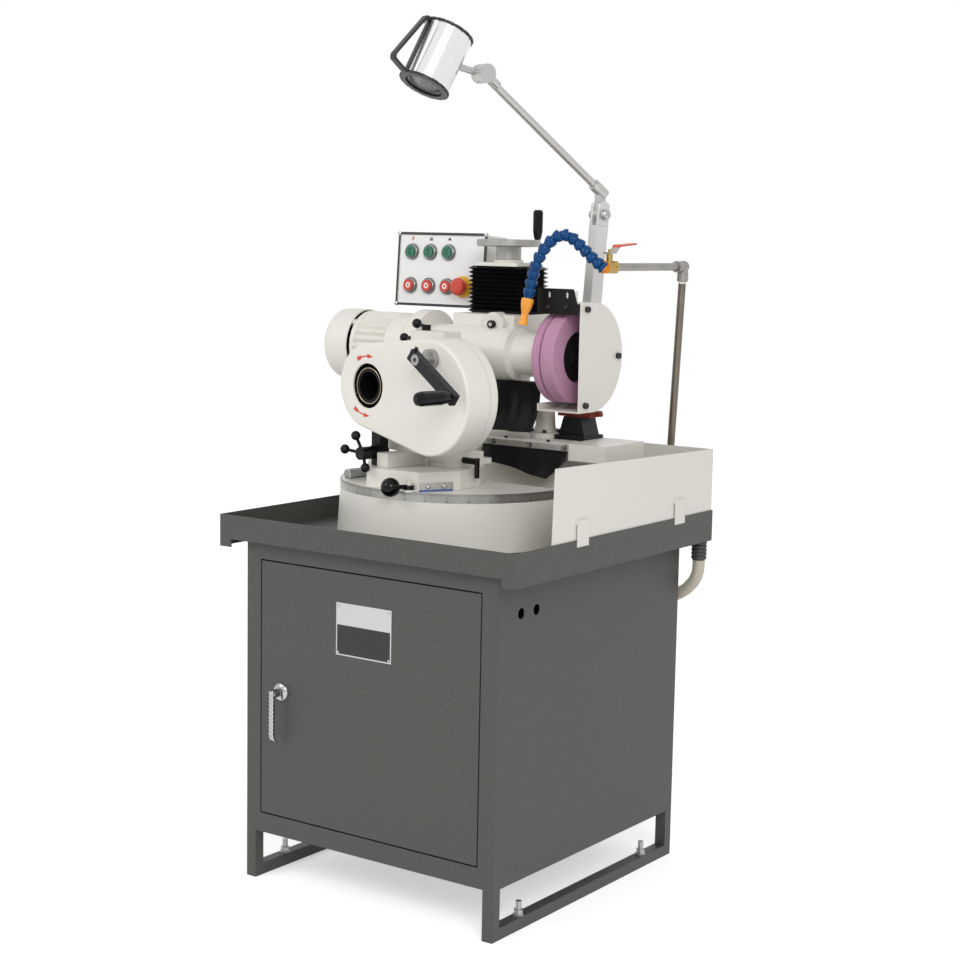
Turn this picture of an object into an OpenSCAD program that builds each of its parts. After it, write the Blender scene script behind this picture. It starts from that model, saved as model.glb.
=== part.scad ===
// Tool and cutter grinder on a cabinet stand, in millimetres, +Z up.
// X runs to the right along the cabinet's front and Y to the back.
// The origin is on the floor under the middle of the machine's outer box.

/* [Stand] */
// Width of the cabinet over its legs
cabinet_w = 650; // [600:5:700]
// Depth of the cabinet over its legs
cabinet_d = 700; // [660:5:740]
// Side of the square leg tube
tube = 25; // [20:1:32]
// Wall of the square leg tube
tube_wall = 2; // [1.5:0.5:3]
// Height of the cabinet's underside above the floor
body_z = 105; // [80:5:130]
// Height of the underside of the tray floor
deck_z = 737; // [700:1:770]
// Thickness of the panel sheet
sheet = 2; // [1:0.5:3]
// Diameter of the two cable holes in the right panel
cable_hole_d = 22; // [16:1:28]
// Distance of the floor studs from the middle of the cabinet
stud_y = 240; // [180:5:280]
// Diameter of the floor studs
stud_d = 12; // [8:1:16]

/* [Door] */
// Width of the front lip beside the door
door_lip = 13; // [8:1:20]
// Height of the front lip below the door
door_sill = 17; // [8:1:24]
// Gap round the door
door_gap = 3; // [2:0.5:5]
// Depth of the door's returns
door_depth = 18; // [14:1:24]
// Diameter of the hinge pins
hinge_pin_d = 8; // [6:1:10]
// Height of the door handle's spindle
handle_z = 421; // [300:1:560]
// Length of the hanging handle bar
handle_bar = 105; // [80:1:130]

/* [Tray] */
// Width of the drip tray
tray_w = 760; // [740:5:820]
// Reach of the tray to the front
tray_front = 376; // [372:1:420]
// Reach of the tray to the back
tray_back = 396; // [392:1:420]
// Height of the tray wall above its floor
tray_wall_h = 49; // [30:1:60]
// Sheet of the tray
tray_t = 2.5; // [1.5:0.5:4]
// Drop of the end skirts below the tray floor
skirt_drop = 17; // [10:1:30]
// Width of the skirt's front tabs
skirt_tab = 31; // [15:1:40]
// Front end of the splash guard
guard_y = -240; // [-300:5:-150]
// Height of the splash guard over the tray rim at its front
guard_front_h = 150; // [120:1:180]
// Height of the splash guard over the tray rim at its back
guard_back_h = 136; // [110:1:170]

/* [Base] */
// Place of the swivel's pivot across the tray
pivot_x = -25; // [-60:1:0]
// Radius of the half-round base at its scale
base_r = 260; // [240:1:280]
// Height of the base casting
base_h = 121.5; // [100:0.5:140]
// Draft of the base wall
base_draft = 6; // [0:1:12]
// Height of the scale ring
ring_h = 19; // [12:1:25]
// Thickness of the scale ring
ring_t = 3; // [2:0.5:4]
// Diameter of the pivot pin
pivot_d = 50; // [30:1:70]

/* [Workhead] */
// Turn of the workhead from straight ahead
swivel_angle = -10; // [-15:1:5]
// Thickness of the swivel plate
swivel_h = 40; // [34:1:48]
// Height of the work spindle over the base
spindle_h = 212; // [205:1:225]
// Distance of the gear cover's face from the pivot
cover_y = 270; // [255:1:285]
// Depth of the gear cover
cover_depth = 73; // [70:1:80]
// Wall of the gear cover
cover_wall = 3; // [2:0.5:5]
// Radius of the cover round the work spindle
cover_small_r = 88; // [86:1:95]
// Radius of the cover round the idler
cover_big_r = 117; // [115:1:125]
// Thickness of the back plate behind the cover
plate_t = 10; // [6:1:14]
// Opening in the cover at the work spindle
cover_bore_d = 92; // [80:1:100]
// Outside diameter of the work spindle
spindle_d = 76; // [66:1:78]
// Bore of the work spindle
spindle_bore_d = 58; // [40:1:60]
// Length of the crank arm between its centres
crank_r = 118; // [90:1:130]
// Turn of the crank arm at rest
crank_turn = -34; // [-90:1:90]
// Length of the crank grip
grip_l = 84; // [60:1:130]
// Diameter of the crank grip
grip_d = 29; // [22:1:34]

/* [Wheelhead] */
// Distance of the wheel spindle behind the pivot
wheel_y = 100; // [95:1:110]
// Height of the wheel spindle over the base
wheel_h = 269; // [262:1:285]
// Diameter of the grinding wheels
wheel_d = 195; // [150:1:200]
// Bore of the grinding wheels
wheel_bore_d = 76; // [60:1:80]
// Diameter of the spindle housing
housing_d = 114; // [100:1:120]
// Diameter of the motor's fan cover
motor_d = 160; // [150:1:170]
// Left face of the left grinding wheel
wheel_x = 150; // [148:1:154]
// Diameter of the feed handwheel
handwheel_d = 142; // [100:1:150]
// Vertical travel of the wheelhead
lift = 40; // [10:1:50]
// Number of pleats in the bellows
pleats = 11; // [6:1:16]

/* [Coolant] */
// Diameter of the coolant pipe
pipe_d = 17; // [13:1:21]
// Place of the coolant pipe across the tray
pipe_x = 279; // [272:1:290]
// Height of the coolant pipe's upper run
pipe_z = 1322; // [1290:1:1350]
// Diameter of the modular hose
hose_d = 25; // [18:1:28]
// Diameter of the drain hose
drain_d = 28; // [20:1:32]

/* [Panel] */
// Width of the control box
box_w = 245; // [235:1:260]
// Height of the control box
box_h = 162; // [155:1:190]
// Depth of the control box
box_d = 83; // [70:1:100]
// Lean of the control box
box_lean = 4; // [0:1:8]
// Pitch of the buttons across the panel
button_pitch = 53; // [44:1:54]
// Diameter of a button
button_d = 26; // [20:1:28]
// Diameter of the mushroom stop
mushroom_d = 41; // [32:1:42]

/* [Lamp] */
// Side of the lower arm's square tube
post_s = 30; // [24:1:34]
// Length of the lower arm between its pivots
post_l = 452; // [400:1:520]
// Length of the upper arm between its pivots
arm_l = 396; // [340:1:460]
// Diameter of the upper arm
arm_d = 17; // [14:1:20]
// Diameter of the lamp head
head_d = 106; // [90:1:120]
// Length of the lamp head
head_l = 122; // [100:1:140]

/* [Hidden] */
$fn = 48;
// Clearances: a running fit's radius, a sliding face, a free gap
run_gap = 0.05;
slide_gap = 0.2;
free_gap = 0.3;
eps = 0.01;
// Shift of the whole machine that brings the middle of its outer box over the origin
home = [28, 13.52, 0];

// Cabinet
half_w = cabinet_w / 2;
half_d = cabinet_d / 2;
inner_w = cabinet_w - 2 * tube;
inner_d = cabinet_d - 2 * tube;
open_w = inner_w - 2 * door_lip;
open_z0 = body_z + tube + door_sill;
open_z1 = deck_z - tube - door_lip;
door_x = open_w / 2 - door_gap;
door_z0 = open_z0 + door_gap;
door_z1 = open_z1 - door_gap;
hinge_in = 12;
hinge_x = open_w / 2 - hinge_in;
hinge_y = -half_d + door_depth / 2;
handle_x = -open_w / 2 + 58;
rail_x = half_w - tube / 2;
cable_holes = [[-271, 651], [-217, 651]];

// Coolant tank: the room behind it and beside it, its sizes, wall and pump
tank_back = 60;
tank_side = 40;
tank_w = 475;
tank_d = inner_d * 0.415385;
tank_h = 190;
tank_t = 4;
tank_x = [half_w - tank_side - tank_w, half_w - tank_side];
tank_y = [half_d - tank_back - tank_d, half_d - tank_back];
pump_y = tank_y[1] - 100;

// Tray
tray_top = deck_z + tray_t + tray_wall_h;
tray_floor = deck_z + tray_t;
drain_at = [tray_w / 2 - 21, tray_back - 18];

// Base and workhead heights
base_top = tray_floor + base_h;
swivel_z = base_top + slide_gap;
swivel_top = swivel_z + swivel_h;
rail_h = 12;
rail_x2 = [30, 84];
slide_z = swivel_top + slide_gap;
slide_h = 30;
slide_top = slide_z + slide_h;
slide_y0 = -228;
slide_y1 = -30;
work_z = base_top + spindle_h;
plate_y0 = -cover_y + cover_depth;
plate_y1 = plate_y0 + plate_t;
head_y1 = -45;
foot_in = 16;
head_r = 70;
head_top = work_z + 74;
block_h = 34;
index_at = [-30, plate_y1 + 107];
plunger_z = head_top + 15;
bearing_d = 100;
bearing_w = 18;
spindle_y0 = -cover_y + 4;
spindle_y1 = -20;
chuck_y1 = 15;
chuck_d = 62;

// Gears: module, tooth counts, planes and the idler's and crank's places
gear_m = 5;
spindle_teeth = 30;
idler_teeth = 42;
idler_small_teeth = 22;
pinion_teeth = 10;
mesh_angle = -3.8;
crank_mesh_angle = 80;
gear_w = 20;
pinion_w = 16;
mesh_r = gear_m * (spindle_teeth + idler_teeth) / 2;
crank_mesh_r = gear_m * (idler_small_teeth + pinion_teeth) / 2;
idler_x = mesh_r * cos(mesh_angle);
idler_z = work_z + mesh_r * sin(mesh_angle);
crank_x = idler_x + crank_mesh_r * cos(crank_mesh_angle);
crank_z = idler_z + crank_mesh_r * sin(crank_mesh_angle);
boss_l = 9;
pinion_y0 = -cover_y + cover_wall + boss_l + 1;
gear_y0 = pinion_y0 + pinion_w + 3;
idler_stud_d = 30;
crank_shaft_d = 22;
collar_d = 40;
collar_l = 12;
arm_gap = 20;
arm_t = 15;
arm_w = 24;
crank_arm_y = -cover_y - collar_l - arm_gap;

// Swivel fittings
lever_at = [96, -239.2];
barrel_at = [-118, -158];
bracket_x = [-48, -20];
bracket_y = [-215, -193];
capstan_x = -32;
capstan_y = -262;
capstan_z = slide_z + 28;
capstan_arms = [170, 95, -44];
clamp_y = -88;
clamp_x = 140;

// Bed and column
bed_top = base_top + 87;
bed_t = 20;
bed_x = [-205, 213];
bed_y = [60, 330];
cover_x1 = 304;
apron_y = bed_y[0];
col_x = -43;
col_y = 192;
col_w = 90;
col_d = 56;
bellows_w = 163;
bellows_d = 86;
bellows_wall = 6;
axis_z = base_top + wheel_h;
slide_body_h = 137;
slide_body_z = axis_z + 82 - slide_body_h;
bellows_z0 = slide_body_z + slide_body_h;
bellows_z1 = bellows_z0 + 104;
cap_h = 8;
col_top = bellows_z1 + cap_h;
hub_z = col_top + 37;
screw_d = 20;
hub_d = 56;
handwheel_z = hub_z - 2;
post_at = [93, 150];
dresser_at = [166, 172];
lamp_at = [129, 240];
box_at = [-386, 232, axis_z + 91];
support_x = -178;
support_y = 275;
support_s = 34;

// Wheel spindle lengths along X
motor_x0 = -438;
fan_x1 = -367;
fins_x1 = -262;
flange_x0 = -206;
flange_x1 = -172;
flange_d = 172;
boss_x = -8;
neck_x0 = 53;
neck_x1 = 128;
neck_d = 92;
shaft_d = 40;
left_wheel_t = 18;
wheel_gap = 4;
right_wheel_t = 32;
recess_r = 54;
recess_t = 14;
right_wheel_x = wheel_x + left_wheel_t + wheel_gap;
wheels_x1 = right_wheel_x + right_wheel_t;
guard_x = [138, 240];
guard_t = 3;
guard_r = 116;
guard_front = wheel_y - 52;
guard_z = axis_z + 2;

// Lamp plane, lean and head tilt
lamp_turn = -19;
lamp_lean = 4.6;
lamp_rise = 36;
lamp_stem = 120;
lamp_stem_rise = 11;
head_tilt = 28;
arm_up = 51;
lamp_base_h = 26;

// Drain hose route, from the fitting round the back of the cabinet
drain_route = [
    [359, 378, 676], [359, 378, 664], [358, 378, 652], [355, 378, 640],
    [349, 378, 628], [340, 378, 617], [330, 378, 607], [317, 378, 598],
    [302, 378, 590], [286, 378, 583], [268, 378, 577], [249, 378, 571],
    [229, 378, 565], [208, 378, 559], [187, 378, 553], [166, 378, 547], [146, 378, 541]
];
drain_sides = 10;

// Coolant pipe: riser's place and lean, the upper run's turn and length, the valve's place
riser_y = tray_back + 12;
pipe_lean = 2.5;
pipe_turn = -3;
run_l = 268;
valve_at = [pipe_x + run_l * sin(pipe_turn), riser_y - run_l * cos(pipe_turn)];
stem_y = valve_at[1] - 22;
valve_ball = 46;
valve_ball_d = 18;

// Modular hose route from the valve to the nozzle
hose_route = [
    [260, 89, 1327], [248, 83, 1338], [236, 78, 1351], [224, 72, 1364], [212, 66, 1377],
    [199, 58, 1387], [185, 49, 1387], [172, 40, 1377], [162, 31, 1362], [154, 24, 1345],
    [149, 18, 1327], [145, 14, 1309], [142, 11, 1291], [140, 8, 1273], [138, 5, 1255]
];
nozzle_tip = [131, -3, 1199];

// Shared shapes

// Moves children from the cabinet's own frame to the machine's
module at_home() { translate(home) children(); }

// A box between two limits on each axis
module span(x, y, z) {
    translate([x[0], y[0], z[0]]) cube([x[1] - x[0], y[1] - y[0], z[1] - z[0]]);
}

// Round bars along each axis
module bar_x(d, x, y, z) { translate([x[0], y, z]) rotate([0, 90, 0]) cylinder(d = d, h = x[1] - x[0]); }
module bar_y(d, x, y, z) { translate([x, y[0], z]) rotate([-90, 0, 0]) cylinder(d = d, h = y[1] - y[0]); }
module bar_z(d, x, y, z) { translate([x, y, z[0]]) cylinder(d = d, h = z[1] - z[0]); }

// A hollow square tube standing up, its outer corner at the origin
module square_tube(s, wall, h) {
    difference() {
        cube([s, s, h]);
        translate([wall, wall, -1]) cube([s - 2 * wall, s - 2 * wall, h + 2]);
    }
}

// A cap screw's head with its socket, head down on its seat
module cap_screw(d, h) {
    difference() {
        cylinder(d = d, h = h);
        translate([0, 0, h / 2]) cylinder(d = d * 0.5, h = h, $fn = 6);
    }
}

// A rod that ends in a ball, out of the origin along X
module ball_rod(l, rod_d, ball_d) {
    rotate([0, 90, 0]) cylinder(d = rod_d, h = l);
    translate([l, 0, 0]) sphere(d = ball_d);
}

// The tangent outline round two circles in the XY plane
module two_circle_outline(r1, r2, c) {
    d = norm(c);
    turn = atan2(c[1], c[0]);
    tilt = asin((r2 - r1) / d);
    up = turn + 90 + tilt;
    dn = turn - 90 - tilt;
    circle(r = r1, $fn = 96);
    translate(c) circle(r = r2, $fn = 96);
    s1 = r1 - 0.05;
    s2 = r2 - 0.05;
    polygon([
        s1 * [cos(up), sin(up)], s1 * [cos(dn), sin(dn)],
        c + s2 * [cos(dn), sin(dn)], c + s2 * [cos(up), sin(up)]
    ]);
}

// A straight-sided gear in the XY plane with one tooth at the given angle
module gear_outline(n, phase) {
    p = 360 / n;
    root = gear_m * n / 2 - 1.2 * gear_m;
    tip = gear_m * n / 2 + 0.8 * gear_m;
    polygon([
        for (k = [0 : n - 1])
            for (q = [[root, -0.26], [tip, -0.09], [tip, 0.09], [root, 0.26]])
                q[0] * [cos(phase + (k + q[1]) * p), sin(phase + (k + q[1]) * p)]
    ]);
}

// Draws children made in XY as upright pieces that face the front, from y0 back by depth
module facing(y0, depth) {
    translate([0, y0 + depth, 0]) rotate([90, 0, 0]) linear_extrude(depth) children();
}

// Places children in the workhead's own frame: +Y along the work spindle, Z from the floor
module in_workhead() {
    translate([pivot_x, 0, 0]) rotate([0, 0, swivel_angle]) children();
}

// Places children on the control panel: X right, Z up the face, -Y out of it
module on_panel() { translate(box_at) rotate([-box_lean, 0, 0]) children(); }

// Places children in the lamp's plane: +X forward along the arms, Y across them
module in_lamp_plane() {
    translate([lamp_at[0], lamp_at[1], 0]) rotate([0, 0, -90 + lamp_turn]) children();
}

// Route helpers: the direction at a point and a ring of points round it
function unit(v) = v / norm(v);
function along(r, i) = unit(r[min(i + 1, len(r) - 1)] - r[max(i - 1, 0)]);
function side_of(t) = unit(cross(t, abs(t[1]) < 0.9 ? [0, 1, 0] : [1, 0, 0]));
function ring_at(r, i, d, n) =
    let (t = along(r, i), a = side_of(t), b = cross(t, a))
    [for (k = [0 : n - 1]) r[i] + d / 2 * (cos(360 * k / n) * a + sin(360 * k / n) * b)];

// A plain tube swept along a route
module swept(r, d, n) {
    m = len(r);
    points = [for (i = [0 : m - 1]) each ring_at(r, i, d, n)];
    walls = [
        for (i = [0 : m - 2]) for (k = [0 : n - 1])
            let (a = i * n + k, b = i * n + (k + 1) % n)
            each [[a, a + n, b], [b, a + n, b + n]]
    ];
    start = [for (k = [1 : n - 2]) [0, k, k + 1]];
    finish = [for (k = [1 : n - 2]) [(m - 1) * n, (m - 1) * n + k + 1, (m - 1) * n + k]];
    polyhedron(points = points, faces = concat(walls, start, finish), convexity = 6);
}

// A hanging sheet: rows of points down its front, the same rows behind it
module hanging_sheet(front, t) {
    rows = len(front);
    cols = len(front[0]);
    half = rows * cols;
    points = concat(
        [for (r = front) each r],
        [for (r = front) each [for (p = r) p + [0, t, 0]]]
    );
    function quad(a, b, c, d) = [[a, b, c], [a, c, d]];
    faces = [
        for (i = [0 : rows - 2]) for (j = [0 : cols - 2])
            let (a = i * cols + j, b = a + 1, c = b + cols, d = a + cols)
            each concat(quad(a, b, c, d), quad(half + d, half + c, half + b, half + a)),
        for (j = [0 : cols - 2])
            let (a = j, b = j + 1, c = (rows - 1) * cols + j, d = c + 1)
            each concat(quad(b, a, half + a, half + b), quad(c, d, half + d, half + c)),
        for (i = [0 : rows - 2])
            let (a = i * cols, b = a + cols, c = a + cols - 1, d = c + cols)
            each concat(quad(a, b, half + b, half + a), quad(d, c, half + c, half + d))
    ];
    polyhedron(points = points, faces = faces, convexity = 8);
}

// Stand

// Welded frame: legs, rails, front lips and the two hinge pins
module stand_frame() color("dimgray") at_home() {
    difference() {
        union() {
            for (sx = [0, 1], sy = [0, 1])
                translate([-half_w + sx * (cabinet_w - tube), -half_d + sy * (cabinet_d - tube), 0])
                    square_tube(tube, tube_wall, deck_z);
            for (z = [body_z, deck_z - tube], sy = [0, 1])
                translate([-half_w + tube, -half_d + sy * (cabinet_d - tube), z + tube])
                    rotate([0, 90, 0]) square_tube(tube, tube_wall, inner_w);
            for (z = [0, body_z, deck_z - tube], sx = [0, 1])
                translate([-half_w + sx * (cabinet_w - tube), -half_d + tube, z + tube])
                    rotate([-90, 0, 0]) square_tube(tube, tube_wall, inner_d);
            front_lips();
        }
        for (sx = [-1, 1], sy = [-1, 1])
            bar_z(stud_d + 1, sx * rail_x, sy * stud_y, [-1, tube + 1]);
    }
    bar_z(hinge_pin_d, hinge_x, hinge_y, [body_z + tube, door_z0 + 20]);
    bar_z(hinge_pin_d, hinge_x, hinge_y, [door_z1 - 20, deck_z - tube]);
}

// Sheet lips that frame the door opening
module front_lips() {
    y = [-half_d, -half_d + sheet];
    z = [body_z + tube, deck_z - tube];
    for (s = [-1, 1])
        span(s > 0 ? [open_w / 2, inner_w / 2] : [-inner_w / 2, -open_w / 2], y, z);
    span([-open_w / 2, open_w / 2], y, [z[0], open_z0]);
    span([-open_w / 2, open_w / 2], y, [open_z1, z[1]]);
}

// Side, rear and floor panels
module cabinet_panels() color("dimgray") at_home() {
    z = [body_z + tube, deck_z - tube];
    y = [-inner_d / 2, inner_d / 2];
    span([-half_w, -half_w + sheet], y, z);
    difference() {
        span([half_w - sheet, half_w], y, z);
        for (h = cable_holes)
            bar_x(cable_hole_d, [half_w - sheet - 1, half_w + 1], h[0], h[1]);
    }
    difference() {
        span([-inner_w / 2, inner_w / 2], [half_d - sheet, half_d], z);
        bar_y(pipe_d + 4, foot_x(), [half_d - sheet - 1, half_d + 1], pump_out_z());
        bar_y(drain_d + 2 * slide_gap, spigot_x(), [half_d - sheet - 1, half_d + 1], spigot_z());
    }
    span([-half_w + sheet, half_w - sheet], y, [body_z + tube, body_z + tube + sheet]);
}

// Floor studs with nut and washer
module levelling_feet() color("silver") at_home() {
    for (sx = [-1, 1], sy = [-1, 1]) translate([sx * rail_x, sy * stud_y, 0]) {
        cylinder(d = stud_d, h = tube + 30);
        translate([0, 0, tube]) difference() {
            cylinder(d = stud_d * 1.9, h = 2.5);
            translate([0, 0, -1]) cylinder(d = stud_d - 1, h = 5);
        }
        translate([0, 0, tube + 2.5]) difference() {
            cylinder(d = stud_d * 1.7, h = stud_d * 0.8, $fn = 6);
            translate([0, 0, -1]) cylinder(d = stud_d - 1, h = stud_d + 2);
        }
    }
}

// Drip tray with walls, end skirts and their front tabs
module tray() color("dimgray") at_home() {
    x = tray_w / 2;
    z0 = deck_z - skirt_drop;
    difference() {
        union() {
            span([-x, x], [-tray_front, tray_back], [deck_z, tray_floor]);
            span([-x, x], [-tray_front, -tray_front + tray_t], [deck_z, tray_top]);
            span([-x, x], [tray_back - tray_t, tray_back], [deck_z, tray_top]);
            for (s = [-1, 1]) {
                span(s > 0 ? [x - tray_t, x] : [-x, -x + tray_t], [-tray_front, tray_back], [z0, tray_top]);
                span(s > 0 ? [x - skirt_tab, x] : [-x, -x + skirt_tab],
                    [-tray_front, -tray_front + tray_t], [z0, tray_top]);
            }
        }
        bar_z(drain_d - 4, drain_at[0], drain_at[1], [deck_z - 1, tray_floor + 1]);
    }
}

// Splash guard sheet on the tray's right and rear walls, with its two rim clips
module splash_guard() color("gainsboro") at_home() {
    x1 = tray_w / 2 - tray_t - eps;
    y1 = tray_back - tray_t - eps;
    z0 = tray_floor + 20;
    slope = (guard_front_h - guard_back_h) / (y1 - guard_y);
    translate([x1 - sheet, 0, 0]) rotate([90, 0, 90]) linear_extrude(sheet)
        polygon([[guard_y - 8, z0], [y1, z0], [y1, tray_top + guard_back_h], [guard_y, tray_top + guard_front_h]]);
    span([100, x1 - sheet], [y1 - sheet, y1], [z0, tray_top + guard_back_h]);
    for (y = [-162, 226]) {
        span([tray_w / 2 + eps, tray_w / 2 + 2], [y, y + 42], [tray_top - 14, tray_top + 40]);
        span([x1, tray_w / 2 + 2], [y, y + 42], [tray_top + 32, tray_top + 40]);
    }
}

// Coolant tank on the cabinet floor with its pump
module coolant_tank() color("slategray") at_home() {
    tank_shell();
    tank_pump();
}

// Closed sheet tank
module tank_shell() {
    z = body_z + tube + sheet;
    difference() {
        span(tank_x, tank_y, [z, z + tank_h]);
        span([tank_x[0] + tank_t, tank_x[1] - tank_t], [tank_y[0] + tank_t, tank_y[1] - tank_t],
            [z + tank_t, z + tank_h - tank_t]);
        bar_z(100, foot_x() - 40, pump_y, [z + tank_h - 10, z + tank_h + 10]);
        bar_y(drain_d - 4, spigot_x(), [tank_y[1] - 20, tank_y[1] + 10], z + 165);
    }
}

// Where the pump's outlet and the drain's spigot pass the rear panel
function pump_out_z() = body_z + tube + sheet + 230;
function foot_x() = pipe_x - (pipe_z - pump_out_z()) * tan(pipe_lean);
function spigot_x() = 146;
function spigot_z() = 541;

// Immersion pump standing in the tank, with its outlet to the rear
module tank_pump() {
    z = body_z + tube + sheet + tank_h;
    c = [foot_x() - 40, pump_y];
    bar_z(96, c[0], c[1], [z - 150, z + eps]);
    bar_z(124, c[0], c[1], [z + eps, z + 12]);
    bar_z(104, c[0], c[1], [z + 12, z + 190]);
    bar_z(86, c[0], c[1], [z + 190, z + 205]);
    span([c[0], foot_x() + 20], [c[1] + 10, c[1] + 60], [z + 20, z + 60]);
    span([c[0] + 40, c[0] + 74], [c[1] - 40, c[1] + 8], [z + 80, z + 140]);
}

// Ribbed drain fitting under the tray, the hose, and its spigot into the cabinet
module drain_hose() color("gainsboro") at_home() {
    c = drain_at;
    z = deck_z - eps;
    difference() {
        union() {
            bar_z(drain_d + 6, c[0], c[1], [z - 26, z]);
            for (k = [0 : 3])
                bar_z(drain_d + 8, c[0], c[1], [z - 6 - 6 * k, z - 3 - 6 * k]);
            bar_z(drain_d + 2, c[0], c[1], [drain_route[0][2] + eps, z - 26]);
        }
        bar_z(drain_d - 8, c[0], c[1], [drain_route[0][2] - 1, z + 1]);
    }
    swept(drain_route, drain_d, drain_sides);
    bar_y(drain_d, spigot_x(), [half_d - sheet - 20, drain_route[0][1] + drain_d / 2], spigot_z());
}

// Coolant pipe: pump outlet, rear elbow, riser, upper elbow and the run to the valve
module coolant_pipe() color("silver") at_home() {
    y = riser_y;
    z = pump_out_z();
    bar_y(pipe_d, foot_x(), [pump_y + 60 + eps, y], z);
    translate([foot_x(), y, z]) sphere(d = pipe_d + 9);
    translate([pipe_x, y, pipe_z]) {
        sphere(d = pipe_d + 10);
        rotate([0, 180 + pipe_lean, 0]) {
            cylinder(d = pipe_d, h = (pipe_z - z) / cos(pipe_lean));
            cylinder(d = pipe_d + 6, h = 20);
            translate([0, 0, 14]) cylinder(d = pipe_d + 8, h = 18);
        }
        rotate([0, 0, pipe_turn]) rotate([90, 0, 0]) {
            cylinder(d = pipe_d, h = run_l - pipe_d / 2 * sin(abs(pipe_turn)) - eps);
            cylinder(d = pipe_d + 6, h = 20);
            translate([0, 0, 14]) cylinder(d = pipe_d + 8, h = 16);
        }
    }
    x = pipe_x - (pipe_z - tray_top) * tan(pipe_lean);
    span([x - 14, x + 14], [tray_back + eps, y], [tray_top - 34, tray_top - 14]);
}

// Brass ball valve with its packing stem and the connector for the hose
module valve_body() color("goldenrod") at_home() {
    x = valve_at[0];
    translate([x, valve_at[1] - eps, pipe_z]) rotate([90, 0, 0]) {
        cylinder(d = pipe_d * 1.75, h = 14, $fn = 6);
        translate([0, 0, 14]) cylinder(d = pipe_d * 1.55, h = 16);
        translate([0, 0, 30]) cylinder(d = pipe_d * 1.75, h = 10, $fn = 6);
        translate([0, 0, valve_ball]) sphere(d = valve_ball_d);
    }
    bar_z(14, x, stem_y, [pipe_z, pipe_z + 28]);
    bar_z(7, x, stem_y, [pipe_z, pipe_z + 38]);
}

// Lever on the valve's stem
module valve_lever() color("firebrick") at_home() {
    x = valve_at[0];
    z = pipe_z + 28 + slide_gap;
    difference() {
        span([x - 9, x + 9], [stem_y - 11, stem_y + 14], [z, z + 3]);
        bar_z(7 + 2 * run_gap, x, stem_y, [z - 1, z + 4]);
    }
    translate([x, stem_y + 12, z]) rotate([40, 0, 0]) span([-9, 9], [0, 26], [0, 3]);
    translate([x, stem_y + 30, z + 14.5]) rotate([4, 0, 0]) span([-11, 11], [0, 62], [0, 4]);
}

// Points children made along Z down the direction v from p
module aim(p, v) {
    translate(p) rotate([0, acos(v[2] / norm(v)), atan2(v[1], v[0])]) children();
}

// Ball-and-socket segments of the modular hose, each parted from the next on the plane between them
module coolant_hose() color("royalblue") at_home() {
    r = hose_d / 2;
    for (i = [0 : len(hose_route) - 2]) {
        v = hose_route[i + 1] - hose_route[i];
        l = norm(v);
        difference() {
            aim(hose_route[i], v) rotate_extrude($fn = 24) polygon([
                [4, -4], [9, -4], [9, 0], [r, l * 0.3], [r, l * 0.62], [10, l], [10, l + 4], [4, l + 4]
            ]);
            aim(hose_route[i], along(hose_route, i)) translate([-30, -30, -60 + free_gap / 2]) cube(60);
            aim(hose_route[i + 1], along(hose_route, i + 1)) translate([-30, -30, -free_gap / 2]) cube(60);
            translate([valve_at[0], valve_at[1] - eps - valve_ball, pipe_z]) sphere(d = valve_ball_d + free_gap);
        }
    }
}

// Nozzle on the hose's last ball
module coolant_nozzle() color("orange") at_home() {
    v = nozzle_tip - nozzle_at();
    l = norm(v);
    aim(nozzle_at(), v) rotate_extrude($fn = 24) polygon([
        [4, free_gap], [9, free_gap], [12, 8], [12, 24], [8.5, 32], [10.5, l], [7, l], [6, 32], [4, 28]
    ]);
}

// Where the nozzle meets the hose's last segment
function nozzle_at() = hose_route[len(hose_route) - 1];

// Door

// Pan door with its hinge blocks
module door() color("dimgray") at_home() {
    y0 = -half_d;
    difference() {
        span([-door_x, door_x], [y0, y0 + door_depth], [door_z0, door_z1]);
        difference() {
            span([-door_x + sheet, door_x - sheet], [y0 + sheet, y0 + door_depth + 1],
                [door_z0 + sheet, door_z1 - sheet]);
            for (z = [[door_z0, door_z0 + 34], [door_z1 - 34, door_z1]])
                span([hinge_x - 14, door_x], [y0, y0 + door_depth], z);
        }
        for (z = [[door_z0 - 1, door_z0 + 21], [door_z1 - 21, door_z1 + 1]])
            bar_z(hinge_pin_d + 2 * run_gap, hinge_x, hinge_y, z);
        bar_y(14, handle_x, [y0 - 1, y0 + sheet + 1], handle_z);
    }
}

// Bare name plate and the handle's rose
module door_fittings() color("silver") at_home() {
    y = -half_d - eps;
    span([-79, 65], [y - 1.2, y], [524, 634]);
    difference() {
        bar_y(40, handle_x, [y - 8, y], handle_z);
        bar_y(14 + 2 * run_gap, handle_x, [y - 9, y + 1], handle_z);
    }
}

// Handle: spindle, hanging bar and the cam tongue behind the door
module door_handle() color("gainsboro") at_home() {
    y = -half_d;
    bar_y(13.9, handle_x, [y - 24, y + door_depth + 8], handle_z);
    bar_y(18, handle_x, [y - 34, y - 10], handle_z);
    bar_z(13, handle_x, y - 28, [handle_z - handle_bar, handle_z + 8]);
    span([handle_x - 10, handle_x + 10], [y + door_depth + 3, y + door_depth + 7], [handle_z - 63, handle_z + 12]);
}

// Base and swivel

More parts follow.
